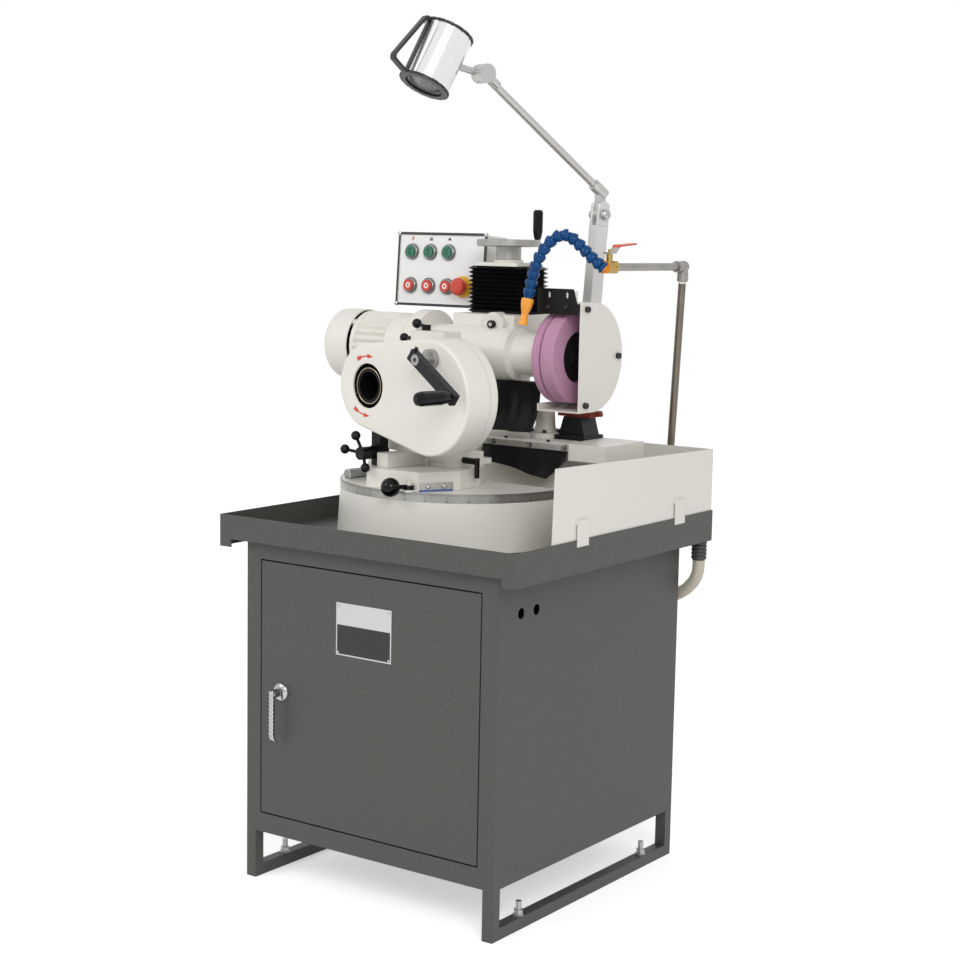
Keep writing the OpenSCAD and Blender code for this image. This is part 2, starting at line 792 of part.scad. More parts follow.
// Half-round base with a ground top, its pivot boss and the foot under the bed
module base_casting() color("linen") at_home() {
    z0 = tray_floor + eps;
    difference() {
        union() {
            intersection() {
                translate([pivot_x, 0, 0]) rotate_extrude($fn = 180) polygon([
                    [0, z0], [base_r + base_draft, z0], [base_r, base_top - ring_h],
                    [base_r - ring_t - eps, base_top - ring_h], [base_r - ring_t - eps, base_top], [0, base_top]
                ]);
                span([-500, 500], [-500, 0], [0, 2000]);
            }
            bar_z(140, pivot_x, 0, [z0, base_top]);
            span([pivot_x - 150, pivot_x + 230], [0, bed_y[0] + 50], [z0, z0 + 60]);
        }
        bar_z(pivot_d + 2 * run_gap, pivot_x, 0, [base_top - 40, base_top + 1]);
    }
}

// Graduated steel scale round the front half of the base
module scale_ring() color("silver") at_home() {
    intersection() {
        translate([pivot_x, 0, base_top - ring_h]) difference() {
            cylinder(r = base_r, h = ring_h, $fn = 180);
            translate([0, 0, -1]) cylinder(r = base_r - ring_t, h = ring_h + 2, $fn = 180);
        }
        span([-500, 500], [-500, 0], [0, 2000]);
    }
}

// Swivel plate with its pivot pin and the feed rail, and the stop barrel at its left
module swivel_plate() color("linen") at_home() in_workhead() {
    translate([0, 0, swivel_z]) linear_extrude(swivel_h) polygon([
        [-62, 20], [-112, -40], [-130, -128], [-130, -150], [-16, -256],
        [107, -224], [140, -135], [120, -60], [62, 20]
    ]);
    bar_z(pivot_d, 0, 0, [base_top - 38, swivel_z + 1]);
    span(rail_x2, [-120, 10], [swivel_top - 1, swivel_top + rail_h]);
    bar_y(22, barrel_at[0], [barrel_at[1] - 64, barrel_at[1] + 12], swivel_z + 13);
    translate([lever_at[0], lever_at[1], 0]) {
        bar_z(26, 0, 0, [swivel_z, swivel_z + 5]);
        span([-9, 9], [0, 22], [swivel_z, swivel_z + 5]);
        bar_z(10, 0, 0, [swivel_z, swivel_z + 22]);
    }
}

// Vernier plate with two screw heads on the swivel's front
module vernier_plate() color("silver") at_home() in_workhead() {
    translate([123.5, -179.5, swivel_z]) rotate([0, 0, 69.65]) {
        span([-44, 30], [-3, -eps], [0, 18]);
        for (x = [-26, 10]) translate([x, -3, 10]) rotate([90, 0, 0]) cylinder(d = 9, h = 3);
    }
}

// Ball lever that locks the swivel
module swivel_lever() color("black") at_home() in_workhead() {
    translate([lever_at[0], lever_at[1], swivel_z]) difference() {
        union() {
            cylinder(d = 22, h = 14);
            translate([0, 0, 11]) rotate([0, 0, 249]) ball_rod(40, 9, 40);
        }
        translate([0, 0, -1]) cylinder(d = 26, h = 6 + slide_gap);
        translate([0, 0, -1]) cylinder(d = 10 + 2 * run_gap, h = 40);
    }
}

// Upright bracket for the feed screw's capstan
module feed_bracket() color("black") at_home() in_workhead() {
    difference() {
        union() {
            span(bracket_x, bracket_y, [swivel_top + eps, swivel_top + 72]);
            bar_y(32, capstan_x, [bracket_y[0] - 8, bracket_y[1]], capstan_z);
        }
        bar_y(12 + 2 * run_gap, capstan_x, [bracket_y[0] - 9, bracket_y[1] + 1], capstan_z);
    }
}

// Feed slide that carries the headstock
module feed_slide() color("linen") at_home() in_workhead() {
    difference() {
        union() {
            span([-15, 18], [slide_y0, slide_y1], [slide_z, slide_top]);
            span([-58, 100], [-126, slide_y1], [slide_z, slide_top]);
        }
        span([rail_x2[0] - slide_gap, rail_x2[1] + slide_gap], [-127, slide_y1 + 1],
            [slide_z - 1, slide_z + rail_h + slide_gap]);
    }
}

// Three-ball capstan on the end of the feed screw
module feed_capstan() color("black") at_home() in_workhead() {
    bar_y(12, capstan_x, [capstan_y, bracket_y[1] - 1], capstan_z);
    bar_y(27, capstan_x, [capstan_y, bracket_y[0] - 8 - free_gap], capstan_z);
    for (a = capstan_arms)
        translate([capstan_x, capstan_y + 10, capstan_z]) rotate([0, -a, 0]) rotate([0, 0, -25]) ball_rod(42, 7, 20);
}

// Clamp lever with an upright bar at the slide's right
module slide_lever() color("black") at_home() in_workhead() {
    z = slide_z + 15;
    bar_x(14, [100 + free_gap, clamp_x], clamp_y, z);
    bar_z(11, clamp_x, clamp_y, [z - 34, z + 8]);
}

// Workhead

// Headstock: back plate, spindle housing, foot, top block and idler stud
module headstock() color("linen") at_home() in_workhead() {
    difference() {
        union() {
            translate([0, 0, work_z]) facing(plate_y0 + eps, plate_t)
                two_circle_outline(cover_small_r, cover_big_r, [idler_x, idler_z - work_z]);
            bar_y(2 * head_r, 0, [plate_y1 - 1, head_y1], work_z);
            span([-58, 58], [plate_y1 + foot_in, head_y1], [slide_top + eps, work_z]);
            span([-46, 46], [plate_y1 - 1, head_y1], [work_z, head_top]);
        }
        bar_y(spindle_d + 4, 0, [plate_y0 - 1, head_y1 + 1], work_z);
        for (y = [plate_y1 + 6, head_y1 - 6 - bearing_w])
            bar_y(bearing_d, 0, [y, y + bearing_w], work_z);
    }
    for (y = [plate_y1 + 6, head_y1 - 6 - bearing_w]) difference() {
        bar_y(bearing_d - 2 * run_gap, 0, [y + run_gap, y + bearing_w - run_gap], work_z);
        bar_y(spindle_d + 2 * run_gap, 0, [y - 1, y + bearing_w + 1], work_z);
    }
    difference() {
        span([-53, 52], [plate_y1 + 84, plate_y1 + 130], [head_top + eps, head_top + block_h]);
        translate([index_at[0], index_at[1], head_top + 6]) cylinder(d = 12 + 2 * run_gap, h = block_h);
        bar_x(10 + 2 * run_gap, [-54, -38], index_at[1], plunger_z);
    }
    bar_y(idler_stud_d, idler_x, [gear_y0 - pinion_w - 2, plate_y0], idler_z);
}

// Gear cover: a deep lid with an opening for the spindle and a bush for the crank
module gear_cover() color("linen") at_home() in_workhead() {
    c = [idler_x, idler_z - work_z];
    translate([0, 0, work_z]) difference() {
        union() {
            difference() {
                facing(-cover_y, cover_depth) two_circle_outline(cover_small_r, cover_big_r, c);
                facing(-cover_y + cover_wall, cover_depth)
                    two_circle_outline(cover_small_r - cover_wall, cover_big_r - cover_wall, c);
            }
            bar_y(collar_d, crank_x, [-cover_y + 1, -cover_y + cover_wall + boss_l], crank_z - work_z);
        }
        bar_y(cover_bore_d, 0, [-cover_y - 1, -cover_y + cover_wall + 1], 0);
        bar_y(crank_shaft_d + 2 * run_gap, crank_x, [-cover_y - 1, -cover_y + 30], crank_z - work_z);
    }
}

// Ball lever on the top block that locks the spindle's index
module index_lever() color("black") at_home() in_workhead() {
    z = head_top + block_h;
    translate([index_at[0], index_at[1], 0]) {
        bar_z(12, 0, 0, [head_top + 8, z + 6]);
        bar_z(20, 0, 0, [z + slide_gap, z + 12]);
        translate([0, 0, z + 7]) rotate([0, -12, 180]) ball_rod(30, 8, 21);
    }
}

// Spring plunger with a ball knob at the block's left
module index_plunger() color("black") at_home() in_workhead() {
    translate([-53, index_at[1], plunger_z]) rotate([0, 0, 180]) ball_rod(46, 9, 20);
    bar_x(10, [-60, -40], index_at[1], plunger_z);
}

// Hollow work spindle with its gear and the chuck at its nose
module work_spindle() color("silver") at_home() in_workhead() {
    difference() {
        union() {
            bar_y(spindle_d, 0, [spindle_y0, spindle_y1], work_z);
            translate([0, 0, work_z]) facing(gear_y0, gear_w) gear_outline(spindle_teeth, mesh_angle);
            bar_y(spindle_d + 14, 0, [head_y1 + 1, head_y1 + 12], work_z);
            translate([0, spindle_y1 - 1, work_z]) rotate([-90, 0, 0])
                cylinder(d1 = spindle_d + 4, d2 = chuck_d, h = chuck_y1 - spindle_y1 + 1);
        }
        bar_y(spindle_bore_d, 0, [spindle_y0 - 1, head_y1], work_z);
        bar_y(26, 0, [head_y1 - 1, chuck_y1 + 1], work_z);
        for (a = [0 : 120 : 240]) translate([0, chuck_y1 - 24, work_z]) rotate([0, a, 0])
            span([-1, 1], [0, 30], [8, 40]);
    }
}

// Compound idler between the crank's pinion and the spindle's gear
module idler_gear() color("silver") at_home() in_workhead() {
    difference() {
        translate([idler_x, 0, idler_z]) {
            facing(gear_y0, gear_w) gear_outline(idler_teeth, mesh_angle + 180 + 180 / idler_teeth);
            facing(pinion_y0, pinion_w + 4) gear_outline(idler_small_teeth, crank_mesh_angle);
        }
        bar_y(idler_stud_d + 2 * run_gap, idler_x, [pinion_y0 - 1, gear_y0 + gear_w + 1], idler_z);
    }
}

// Crank shaft with its collar outside and its pinion inside the cover
module crank_shaft() color("silver") at_home() in_workhead() {
    bar_y(crank_shaft_d, crank_x, [crank_arm_y - arm_t, pinion_y0 + 1], crank_z);
    bar_y(collar_d, crank_x, [-cover_y - collar_l, -cover_y - slide_gap], crank_z);
    translate([crank_x, 0, crank_z]) facing(pinion_y0, pinion_w)
        gear_outline(pinion_teeth, crank_mesh_angle + 180 + 180 / pinion_teeth);
}

// Crank arm clamped on the shaft's end, with the pin for its grip
module crank_arm() color("darkslategray") at_home() in_workhead() {
    y = [crank_arm_y - arm_t, crank_arm_y];
    translate([crank_x, 0, crank_z]) rotate([0, -crank_turn, 0]) {
        difference() {
            span([-20, crank_r + 12], y, [-arm_w / 2, arm_w / 2]);
            bar_y(crank_shaft_d + 0.02, 0, [y[0] - 1, y[1] + 1], 0);
            span([-21, -crank_shaft_d / 2 + 2], [y[0] - 1, y[1] + 1], [-1, 1]);
        }
        bar_y(12, crank_r, [y[0] - grip_l - 2, y[0] + 1], 0);
        translate([-15, (y[0] + y[1]) / 2, arm_w / 2 - eps]) cylinder(d = 8, h = 6);
    }
}

// Turning grip on the crank's pin
module crank_grip() color("black") at_home() in_workhead() {
    y1 = crank_arm_y - arm_t - slide_gap;
    translate([crank_x, 0, crank_z]) rotate([0, -crank_turn, 0]) translate([crank_r, y1, 0])
        rotate([90, 0, 0]) rotate_extrude() polygon([
            [6 + run_gap, 0], [grip_d * 0.4, 0], [grip_d * 0.42, 6], [grip_d * 0.5, 22], [grip_d * 0.5, grip_l - 12],
            [grip_d * 0.42, grip_l - 3], [grip_d * 0.3, grip_l], [6 + run_gap, grip_l]
        ]);
}

// Wheel side

// Bed: foot, top plate, steel strip with cap screws, sheet end cover and the flanged pillar
module bed_casting() color("linen") at_home() {
    z0 = tray_floor + 60 + 2 * eps;
    span([-150, 185], [bed_y[0] + 50, 320], [tray_floor + eps, z0]);
    span([-150, 185], [bed_y[0] + 50, 320], [z0 - 1, bed_top - bed_t]);
    translate([0, 0, bed_top - bed_t]) linear_extrude(bed_t) polygon([
        [bed_x[0], bed_y[0]], [bed_x[1], bed_y[0]], [bed_x[1], 228], [165, 240],
        [165, 276], [100, 276], [100, bed_y[1]], [bed_x[0], bed_y[1]]
    ]);
    translate([0, apron_y, bed_top - 14]) {
        span([-8, bed_x[1]], [-6, -3], [0, 13]);
        for (x = [20, 115, 205]) translate([x, -6 - eps, 6.5]) rotate([90, 0, 0]) cap_screw(11, 6);
    }
    span([bed_x[1] - 8, cover_x1], [bed_y[0] - 2, 218], [bed_top + eps, bed_top + 2]);
    difference() {
        span([bed_x[1] + eps, cover_x1], [bed_y[0] - 2, 218], [bed_top - 34, bed_top + 1]);
        span([bed_x[1] - 1, cover_x1 - sheet], [bed_y[0] - 2 + sheet, 218 - sheet], [bed_top - 35, bed_top]);
    }
    translate([post_at[0], post_at[1], bed_top + eps]) {
        rotate_extrude() polygon([[0, 0], [34, 0], [34, 11], [25, 13], [22, 26], [20, 62], [0, 62]]);
        for (a = [30 : 90 : 300]) rotate(a) translate([29, 0, 11 + eps]) cap_screw(8, 7);
    }
}

// Rubber apron hanging from the strip, longer to the right, in shallow folds
module lower_apron() color("black") at_home() {
    cols = 20;
    rows = 7;
    x0 = -8;
    w = bed_x[1] - x0 - 2;
    hanging_sheet([
        for (i = [0 : rows - 1]) [
            for (j = [0 : cols - 1])
                let (
                    u = j / (cols - 1), v = max(0, i - 1) / (rows - 2),
                    drop = u < 0.78 ? 28 + 42 * u : 61 - 200 * (u - 0.78)
                )
                [x0 + w * u, apron_y - 3 + eps - v * (10 + 6 * sin(720 * u)),
                    i == 0 ? bed_top - 2 : bed_top - 16 - v * drop]
        ]
    ], 3 - 2 * eps);
}

// Tapered black stand under the wheel with the dresser's clamp head and latch
module dresser_stand() color("black") at_home() {
    translate([dresser_at[0], dresser_at[1], bed_top + eps]) {
        span([-38, 38], [-38, 38], [0, 10]);
        translate([0, 0, 10]) rotate([90, 0, 0]) translate([0, 0, -30]) linear_extrude(60)
            polygon([[-33, 0], [33, 0], [21, 40], [-21, 40]]);
        span([-40, 44], [-24, 24], [50, 62]);
        bar_x(9, [44, 58], 0, 56);
    }
}

// Column with its guide and the cap plate above the bellows
module column() color("linen") at_home() {
    x = [col_x - col_w / 2, col_x + col_w / 2];
    y = [col_y - col_d / 2, col_y + col_d / 2];
    difference() {
        union() {
            span(x, y, [bed_top + eps, bellows_z1]);
            span([col_x - 62, col_x + 52], [col_y - 42, col_y + 42], [bellows_z1, col_top]);
            bar_z(hub_d + 10, col_x, col_y, [col_top - 1, col_top + 6]);
        }
        bar_z(screw_d + 2 * run_gap, col_x, col_y, [bed_top + 40, col_top + 7]);
    }
}

// Rubber bellows between the wheelhead and the cap plate
module bellows() color("black") at_home() {
    h = bellows_z1 - bellows_z0 - 2 * free_gap;
    pitch = h / pleats;
    translate([col_x, col_y, bellows_z0 + free_gap]) difference() {
        union() {
            span([-bellows_w / 2 + 5, bellows_w / 2 - 5], [-bellows_d / 2 + 5, bellows_d / 2 - 5], [0, h]);
            for (k = [0 : pleats - 1])
                span([-bellows_w / 2, bellows_w / 2], [-bellows_d / 2, bellows_d / 2],
                    [pitch * (k + 0.28), pitch * (k + 0.72)]);
        }
        span([-bellows_w / 2 + 5 + bellows_wall, bellows_w / 2 - 5 - bellows_wall],
            [-bellows_d / 2 + 5 + bellows_wall, bellows_d / 2 - 5 - bellows_wall], [-1, h + 1]);
    }
}

// Feed screw with its hub and handwheel
module handwheel() color("silver") at_home() {
    r = handwheel_d / 2;
    bar_z(screw_d, col_x, col_y, [bed_top + 60, col_top + 8]);
    bar_z(hub_d, col_x, col_y, [col_top + 6 + slide_gap, hub_z]);
    translate([col_x, col_y, handwheel_z]) rotate_extrude($fn = 96)
        polygon([[0, 0], [r - 2, 0], [r, 3], [r, 14], [r - 2, 16], [r - 14, 16], [r - 18, 8], [20, 8], [14, 16], [0, 16]]);
    translate(grip_base()) bar_z(8, 0, 0, [0, 74]);
}

// Foot of the handwheel's grip, on the rim
function grip_base() = [col_x + 51, col_y + 38, handwheel_z + 8];

// Turning grip on the handwheel's pin
module handwheel_grip() color("black") at_home() {
    translate(grip_base() + [0, 0, 8 + slide_gap]) rotate_extrude() polygon([
        [4 + run_gap, 0], [7, 0], [9, 8], [11, 20], [11, 60], [9, 65], [4 + run_gap, 66]
    ]);
}

// Wheelhead casting: slide body on the column, spindle housing, neck and boss
module wheelhead() color("linen") at_home() {
    x = [col_x - bellows_w / 2, col_x + bellows_w / 2];
    z = [slide_body_z, bellows_z0];
    difference() {
        union() {
            span(x, [wheel_y, col_y + bellows_d / 2], z);
            bar_x(housing_d, [flange_x1, neck_x0], wheel_y, axis_z);
            translate([neck_x0 - 1, wheel_y, axis_z]) rotate([0, 90, 0])
                cylinder(d1 = housing_d, d2 = neck_d, h = 9);
            bar_x(neck_d, [neck_x0, neck_x1], wheel_y, axis_z);
            bar_x(neck_d + 8, [neck_x1 - 14, neck_x1], wheel_y, axis_z);
            translate([boss_x, wheel_y - 14, axis_z + 62]) rotate([-90, 0, 0]) cylinder(d = 52, h = 30);
        }
        span([col_x - col_w / 2 - slide_gap, col_x + col_w / 2 + slide_gap],
            [col_y - col_d / 2 - slide_gap, col_y + col_d / 2 + slide_gap], [z[0] - 1, z[1] + 1]);
        bar_x(shaft_d + 2 * run_gap, [flange_x1 - 1, neck_x1 + 1], wheel_y, axis_z);
    }
    translate([boss_x, wheel_y - 14 - eps, axis_z + 62]) rotate([90, 0, 0]) cap_screw(16, 10);
}

// Motor: finned frame, end bell and fan cover
module motor_frame() color("linen") at_home() {
    r = motor_d / 2;
    difference() {
        union() {
            translate([fan_x1 + 6, wheel_y, axis_z]) rotate([0, 90, 0]) {
                cylinder(d = motor_d - 26, h = fins_x1 - fan_x1 - 6);
                for (k = [0 : 27]) rotate(k * 360 / 28)
                    translate([r - 18, -1.5, 0]) cube([14, 3, fins_x1 - fan_x1 - 6]);
            }
            translate([fins_x1 - 1, wheel_y, axis_z]) rotate([0, 90, 0]) {
                cylinder(d = motor_d - 8, h = 12);
                translate([0, 0, 11]) cylinder(d1 = motor_d - 8, d2 = housing_d + 14, h = flange_x0 - fins_x1 - 18);
                cylinder(d = housing_d + 14, h = flange_x0 - fins_x1 + 2);
            }
            bar_x(flange_d, [flange_x0, flange_x1 - eps], wheel_y, axis_z);
            span([fan_x1 + 20, fins_x1 - 20], [wheel_y + 10, wheel_y + r + 14], [axis_z + 10, axis_z + 66]);
        }
        bar_x(motor_d - 44, [fan_x1 + 5, fins_x1], wheel_y, axis_z);
        bar_x(shaft_d + 2 * run_gap, [fins_x1 - 1, flange_x1 + 1], wheel_y, axis_z);
    }
    translate([motor_x0, wheel_y, axis_z]) rotate([0, 90, 0]) rotate_extrude($fn = 96) polygon([
        [12, 0], [r - 16, 0], [r - 6, 3], [r - 1, 10], [r, 22], [r, fan_x1 - motor_x0], [r - 3, fan_x1 - motor_x0],
        [r - 3, 24], [r - 5, 12], [r - 17, 3], [12, 3]
    ]);
    for (a = [45 : 90 : 315]) translate([fan_x1 - 4, wheel_y, axis_z]) rotate([a, 0, 0])
        translate([0, 0, r - 13]) span([0, 10 + eps], [-6, 6], [-1, 10]);
}

// Rotor, fan, spindle shaft and the wheel hub
module rotor_shaft() color("dimgray") at_home() {
    bar_x(shaft_d - 8, [motor_x0 + 20, wheels_x1 + 6], wheel_y, axis_z);
    bar_x(shaft_d, [motor_x0 + 21, wheels_x1 - recess_t], wheel_y, axis_z);
    bar_x(motor_d - 48, [fan_x1 + 24, fins_x1 - 24], wheel_y, axis_z);
    difference() {
        bar_x(motor_d - 16, [motor_x0 + 30, motor_x0 + 36], wheel_y, axis_z);
        for (a = [0 : 45 : 315]) translate([0, wheel_y, axis_z]) rotate([a, 0, 0])
            bar_x(30, [motor_x0 + 29, motor_x0 + 37], 48, 0);
    }
    bar_x(wheel_bore_d + 30, [neck_x1 + 4, wheel_x], wheel_y, axis_z);
    bar_x(wheel_bore_d - 2 * run_gap, [wheel_x, wheels_x1 - recess_t + 1], wheel_y, axis_z);
    bar_x(2 * recess_r - 8, [wheels_x1 - recess_t + eps, wheels_x1 - 6], wheel_y, axis_z);
    translate([wheels_x1 - 7, wheel_y, axis_z]) rotate([0, 90, 0]) cylinder(d = shaft_d + 6, h = 11, $fn = 6);
    bar_x(wheel_bore_d + 30, [wheel_x + left_wheel_t, right_wheel_x], wheel_y, axis_z);
}

// Two pink wheels on the hub: a thin one and a wide one with a tapered rim
module grinding_wheel() color("plum") at_home() {
    r = wheel_d / 2;
    translate([wheel_x, wheel_y, axis_z]) rotate([0, 90, 0]) rotate_extrude($fn = 120) polygon([
        [wheel_bore_d / 2, eps], [r - 3, eps], [r, 4], [r, left_wheel_t - 4], [r - 4, left_wheel_t - eps],
        [wheel_bore_d / 2, left_wheel_t - eps]
    ]);
    translate([right_wheel_x, wheel_y, axis_z]) rotate([0, 90, 0]) rotate_extrude($fn = 120) polygon([
        [wheel_bore_d / 2, eps], [r - 2, eps], [r, 2], [r, right_wheel_t - 2], [r - 2, right_wheel_t],
        [recess_r, right_wheel_t], [recess_r, right_wheel_t - recess_t],
        [wheel_bore_d / 2, right_wheel_t - recess_t]
    ]);
}

// The guard's D outline in the YZ plane, drawn with Y to the right
module guard_outline(r) {
    intersection() {
        union() {
            translate([wheel_y, guard_z]) circle(r = r, $fn = 120);
            translate([guard_front, guard_z - r]) square([wheel_y - guard_front, 2 * r]);
        }
        translate([guard_front, guard_z - r - 1]) square(2 * r + 2);
    }
}

// Draws children made in YZ as a slab from x on by t
module slab(x, t) { translate([x, 0, 0]) rotate([90, 0, 90]) linear_extrude(t) children(); }

// Wheel guard: curved band, left cheek, right side plate with its screws
module wheel_guard() color("linen") at_home() {
    difference() {
        slab(guard_x[0], guard_x[1] - guard_x[0]) guard_outline(guard_r);
        slab(guard_x[0] + guard_t, 200) union() {
            guard_outline(guard_r - guard_t);
            translate([guard_front - 100, guard_z - guard_r + guard_t])
                square([100 + wheel_y - guard_front, 2 * guard_r - 2 * guard_t]);
        }
        slab(guard_x[0] - 1, guard_t + 2) union() {
            translate([wheel_y, axis_z]) circle(r = 62);
            translate([guard_front - 1, guard_z - guard_r + 16]) square([60, 400]);
        }
    }
    span([guard_x[0] + 4, guard_x[1] - 6], [guard_front - 5 + slide_gap, guard_front + 1],
        [guard_z + guard_r - guard_t, guard_z + guard_r + 24]);
    span([col_x + bellows_w / 2 + eps, guard_x[0] + 1], [wheel_y + 72, wheel_y + 98], [axis_z - 30, axis_z + 30]);
    slab(guard_x[1] + eps, guard_t) guard_outline(guard_r);
    for (p = [[guard_front + 20, guard_z + guard_r - 14], [wheel_y + guard_r - 20, guard_z],
            [guard_front + 21, guard_z - guard_r + 16]])
        translate([guard_x[1] + guard_t + 2 * eps, p[0], p[1]]) rotate([0, 90, 0]) cap_screw(13, 8);
}

// Black front shutter plate with its slots and clamp bolts
module guard_shutter() color("black") at_home() {
    z = guard_z + guard_r - 26;
    y = guard_front - 8;
    difference() {
        span([guard_x[0], guard_x[1] - 2], [y, y + 3], [z, z + 54]);
        for (x = [guard_x[0] + 30, guard_x[0] + 74]) span([x - 4, x + 4], [y - 1, y + 4], [z + 26, z + 48]);
    }
}

// Rubber apron hanging from a strip under the wheelhead in folds, spreading at its foot
module upper_apron() color("black") at_home() {
    cols = 18;
    rows = 8;
    x0 = -36;
    w = 150;
    y = wheel_y - 2;
    z1 = axis_z - housing_d / 2 - eps;
    drop = z1 - bed_top - 20;
    span([x0, x0 + w], [y, y + 8], [z1 - 18, z1]);
    hanging_sheet([
        for (i = [0 : rows - 1]) [
            for (j = [0 : cols - 1])
                let (u = j / (cols - 1), v = i / (rows - 1))
                [x0 + w * u, y - 3 - eps + v * (5 * sin(900 * u) - 6) - 32 * v * v * v, z1 - 2 - drop * v]
        ]
    ], 3);
}

// Electrics

// Control box, its bordered face plate and the upright that carries it
module control_box() color("whitesmoke") at_home() {
    on_panel() {
        difference() {
            span([0, box_w], [0, box_d], [0, box_h]);
            span([sheet, box_w - sheet], [sheet, box_d - sheet], [sheet, box_h - sheet]);
            for (i = [0 : 2]) for (z = button_rows())
                bar_y(24, button_x(i), [-1, sheet + 1], z);
            bar_y(24, stop_x(), [-1, sheet + 1], button_rows()[0]);
        }
        difference() {
            span([-4, box_w + 4], [-3, -eps], [-4, box_h + 4]);
            span([2, box_w - 2], [-4, 1], [2, box_h - 2]);
        }
    }
    span([support_x, support_x + support_s], [support_y, support_y + support_s],
        [bed_top + eps, box_at[2] - 5.6]);
}

// Button places on the panel
function button_x(i) = 37 + button_pitch * i;
function stop_x() = button_x(2) + 45;
function button_rows() = [43, 121];

// A coned collar on the panel with a hole through it
module collar(d, h, hole) {
    difference() {
        translate([0, -eps, 0]) rotate([90, 0, 0]) cylinder(d1 = d, d2 = d - 4, h = h);
        bar_y(hole, 0, [-h - 1, 1], 0);
    }
}

// Chrome collars of the six buttons and the mushroom's plate
module button_collars() color("silver") at_home() on_panel() {
    for (i = [0 : 2]) for (z = button_rows()) translate([button_x(i), 0, z]) collar(38, 9, button_d + 2 * free_gap);
    translate([stop_x(), 0, button_rows()[0]]) collar(50, 3, 24);
}

// A button: its cap in the collar and its stem through the panel
module button(i, row) {
    on_panel() translate([button_x(i), 0, button_rows()[row]]) {
        bar_y(button_d, 0, [-12, -4], 0);
        bar_y(20, 0, [-5, 24], 0);
    }
}
module start_button_1() color("seagreen") at_home() button(0, 1);
module start_button_2() color("seagreen") at_home() button(1, 1);
module start_button_3() color("seagreen") at_home() button(2, 1);
module stop_button_1() color("red") at_home() button(0, 0);
module stop_button_2() color("red") at_home() button(1, 0);
module stop_button_3() color("red") at_home() button(2, 0);

// Mushroom stop on its stem
module emergency_stop() color("red") at_home() on_panel() translate([stop_x(), 0, button_rows()[0]]) {
    translate([0, -30, 0]) rotate([-90, 0, 0]) rotate_extrude() polygon([
        [0, 0], [mushroom_d * 0.3, 0.8], [mushroom_d * 0.44, 3.5], [mushroom_d / 2, 8],
        [mushroom_d / 2, 12], [mushroom_d * 0.36, 15], [11, 15], [11, 50], [0, 50]
    ]);
}

// Lamp

// Lamp base on the bed
module lamp_base() color("silver") at_home() in_lamp_plane() {
    z = bed_top + eps;
    bar_z(56, 0, 0, [z, z + 12]);
    difference() {
        span([-22, 22], [-post_s / 2 - 8, post_s / 2 + 8], [z + 11, z + lamp_base_h + 22]);
        span([-23, 23], [-post_s / 2 - slide_gap, post_s / 2 + slide_gap], [z + 12, z + lamp_base_h + 23]);
        bar_y(12 + 2 * run_gap, 0, [-60, 60], lamp_pivot_z());
    }
}

// Heights of the lamp's pivots and the forward run of its joints
function lamp_pivot_z() = bed_top + lamp_base_h + 8;
function elbow_at() = [-post_l * sin(lamp_lean), 0, lamp_pivot_z() + post_l * cos(lamp_lean)];
function knuckle_at() = elbow_at() + [0, 0, arm_up] + arm_l * [cos(lamp_rise), 0, sin(lamp_rise)];
function head_at() = knuckle_at() + lamp_stem * [cos(lamp_stem_rise), 0, sin(lamp_stem_rise)];

// Square lower arm with its pivot pin and the fork at its top
module lamp_post() color("silver") at_home() in_lamp_plane() {
    translate([0, 0, lamp_pivot_z()]) rotate([0, -lamp_lean, 0]) {
        difference() {
            span([-post_s / 2, post_s / 2], [-post_s / 2, post_s / 2], [-14, post_l + 28]);
            span([-post_s, post_s], [-7 - slide_gap, 7 + slide_gap], [post_l - 24, post_l + 40]);
            bar_y(10 + 2 * run_gap, 0, [-40, 40], post_l);
        }
        bar_y(12, 0, [-post_s / 2 - 10, post_s / 2 + 10], 0);
    }
}

// Round upper arm: eye in the fork, bolt, clamp and tube
module lamp_arm() color("silver") at_home() in_lamp_plane() {
    translate(elbow_at()) {
        rotate([90, 0, 0]) translate([0, 0, -7]) cylinder(d = 26, h = 14);
        bar_y(10, 0, [-post_s / 2 - 6, post_s / 2 + 6], 0);
        for (s = [0, 1]) mirror([0, s, 0]) bar_y(22, 0, [post_s / 2 + free_gap, post_s / 2 + 8], 0);
        span([-10, 10], [-7, 7], [4, arm_up]);
        translate([0, 0, arm_up]) rotate([0, 90 - lamp_rise, 0]) {
            bar_z(arm_d, 0, 0, [0, arm_l - 24]);
            bar_z(arm_d + 9, 0, 0, [-14, 24]);
        }
    }
    translate(knuckle_at()) rotate([90, 0, 0]) translate([0, 0, -18]) cylinder(d = 40, h = 17.5);
    translate(knuckle_at()) rotate([0, 90 - lamp_rise, 0]) bar_z(arm_d, 0, 9, [-40, -12]);
}

// Finned head with its knuckle half, stem, rings, bail handle and toggle
module lamp_head() color("gainsboro") at_home() in_lamp_plane() {
    translate(knuckle_at()) {
        rotate([90, 0, 0]) cylinder(d = 40, h = 17);
        rotate([0, 90 - lamp_stem_rise, 0]) bar_z(15, 0, -8, [14, lamp_stem - head_d / 2 + 4]);
    }
    translate(head_at()) rotate([0, -head_tilt, 0]) {
        difference() {
            union() {
                cylinder(d = head_d - 8, h = head_l, center = true);
                for (k = [0 : 15]) rotate(k * 22.5) translate([head_d / 2 - 8, -4, -head_l / 2]) cube([7, 8, head_l]);
            }
            translate([0, 0, -head_l / 2 - 1]) cylinder(d = head_d - 22, h = 101);
        }
        for (s = [-1, 1]) translate([0, 0, s * (head_l / 2 + 1.5)]) difference() {
            cylinder(d = head_d + 6, h = 5 - eps, center = true);
            if (s < 0) cylinder(d = head_d - 20, h = 9, center = true);
        }
        translate([head_d / 2 - 2, 0, 0]) bail_handle();
        bar_z(7, -18, 10, [head_l / 2 + 3, head_l / 2 + 18]);
    }
}

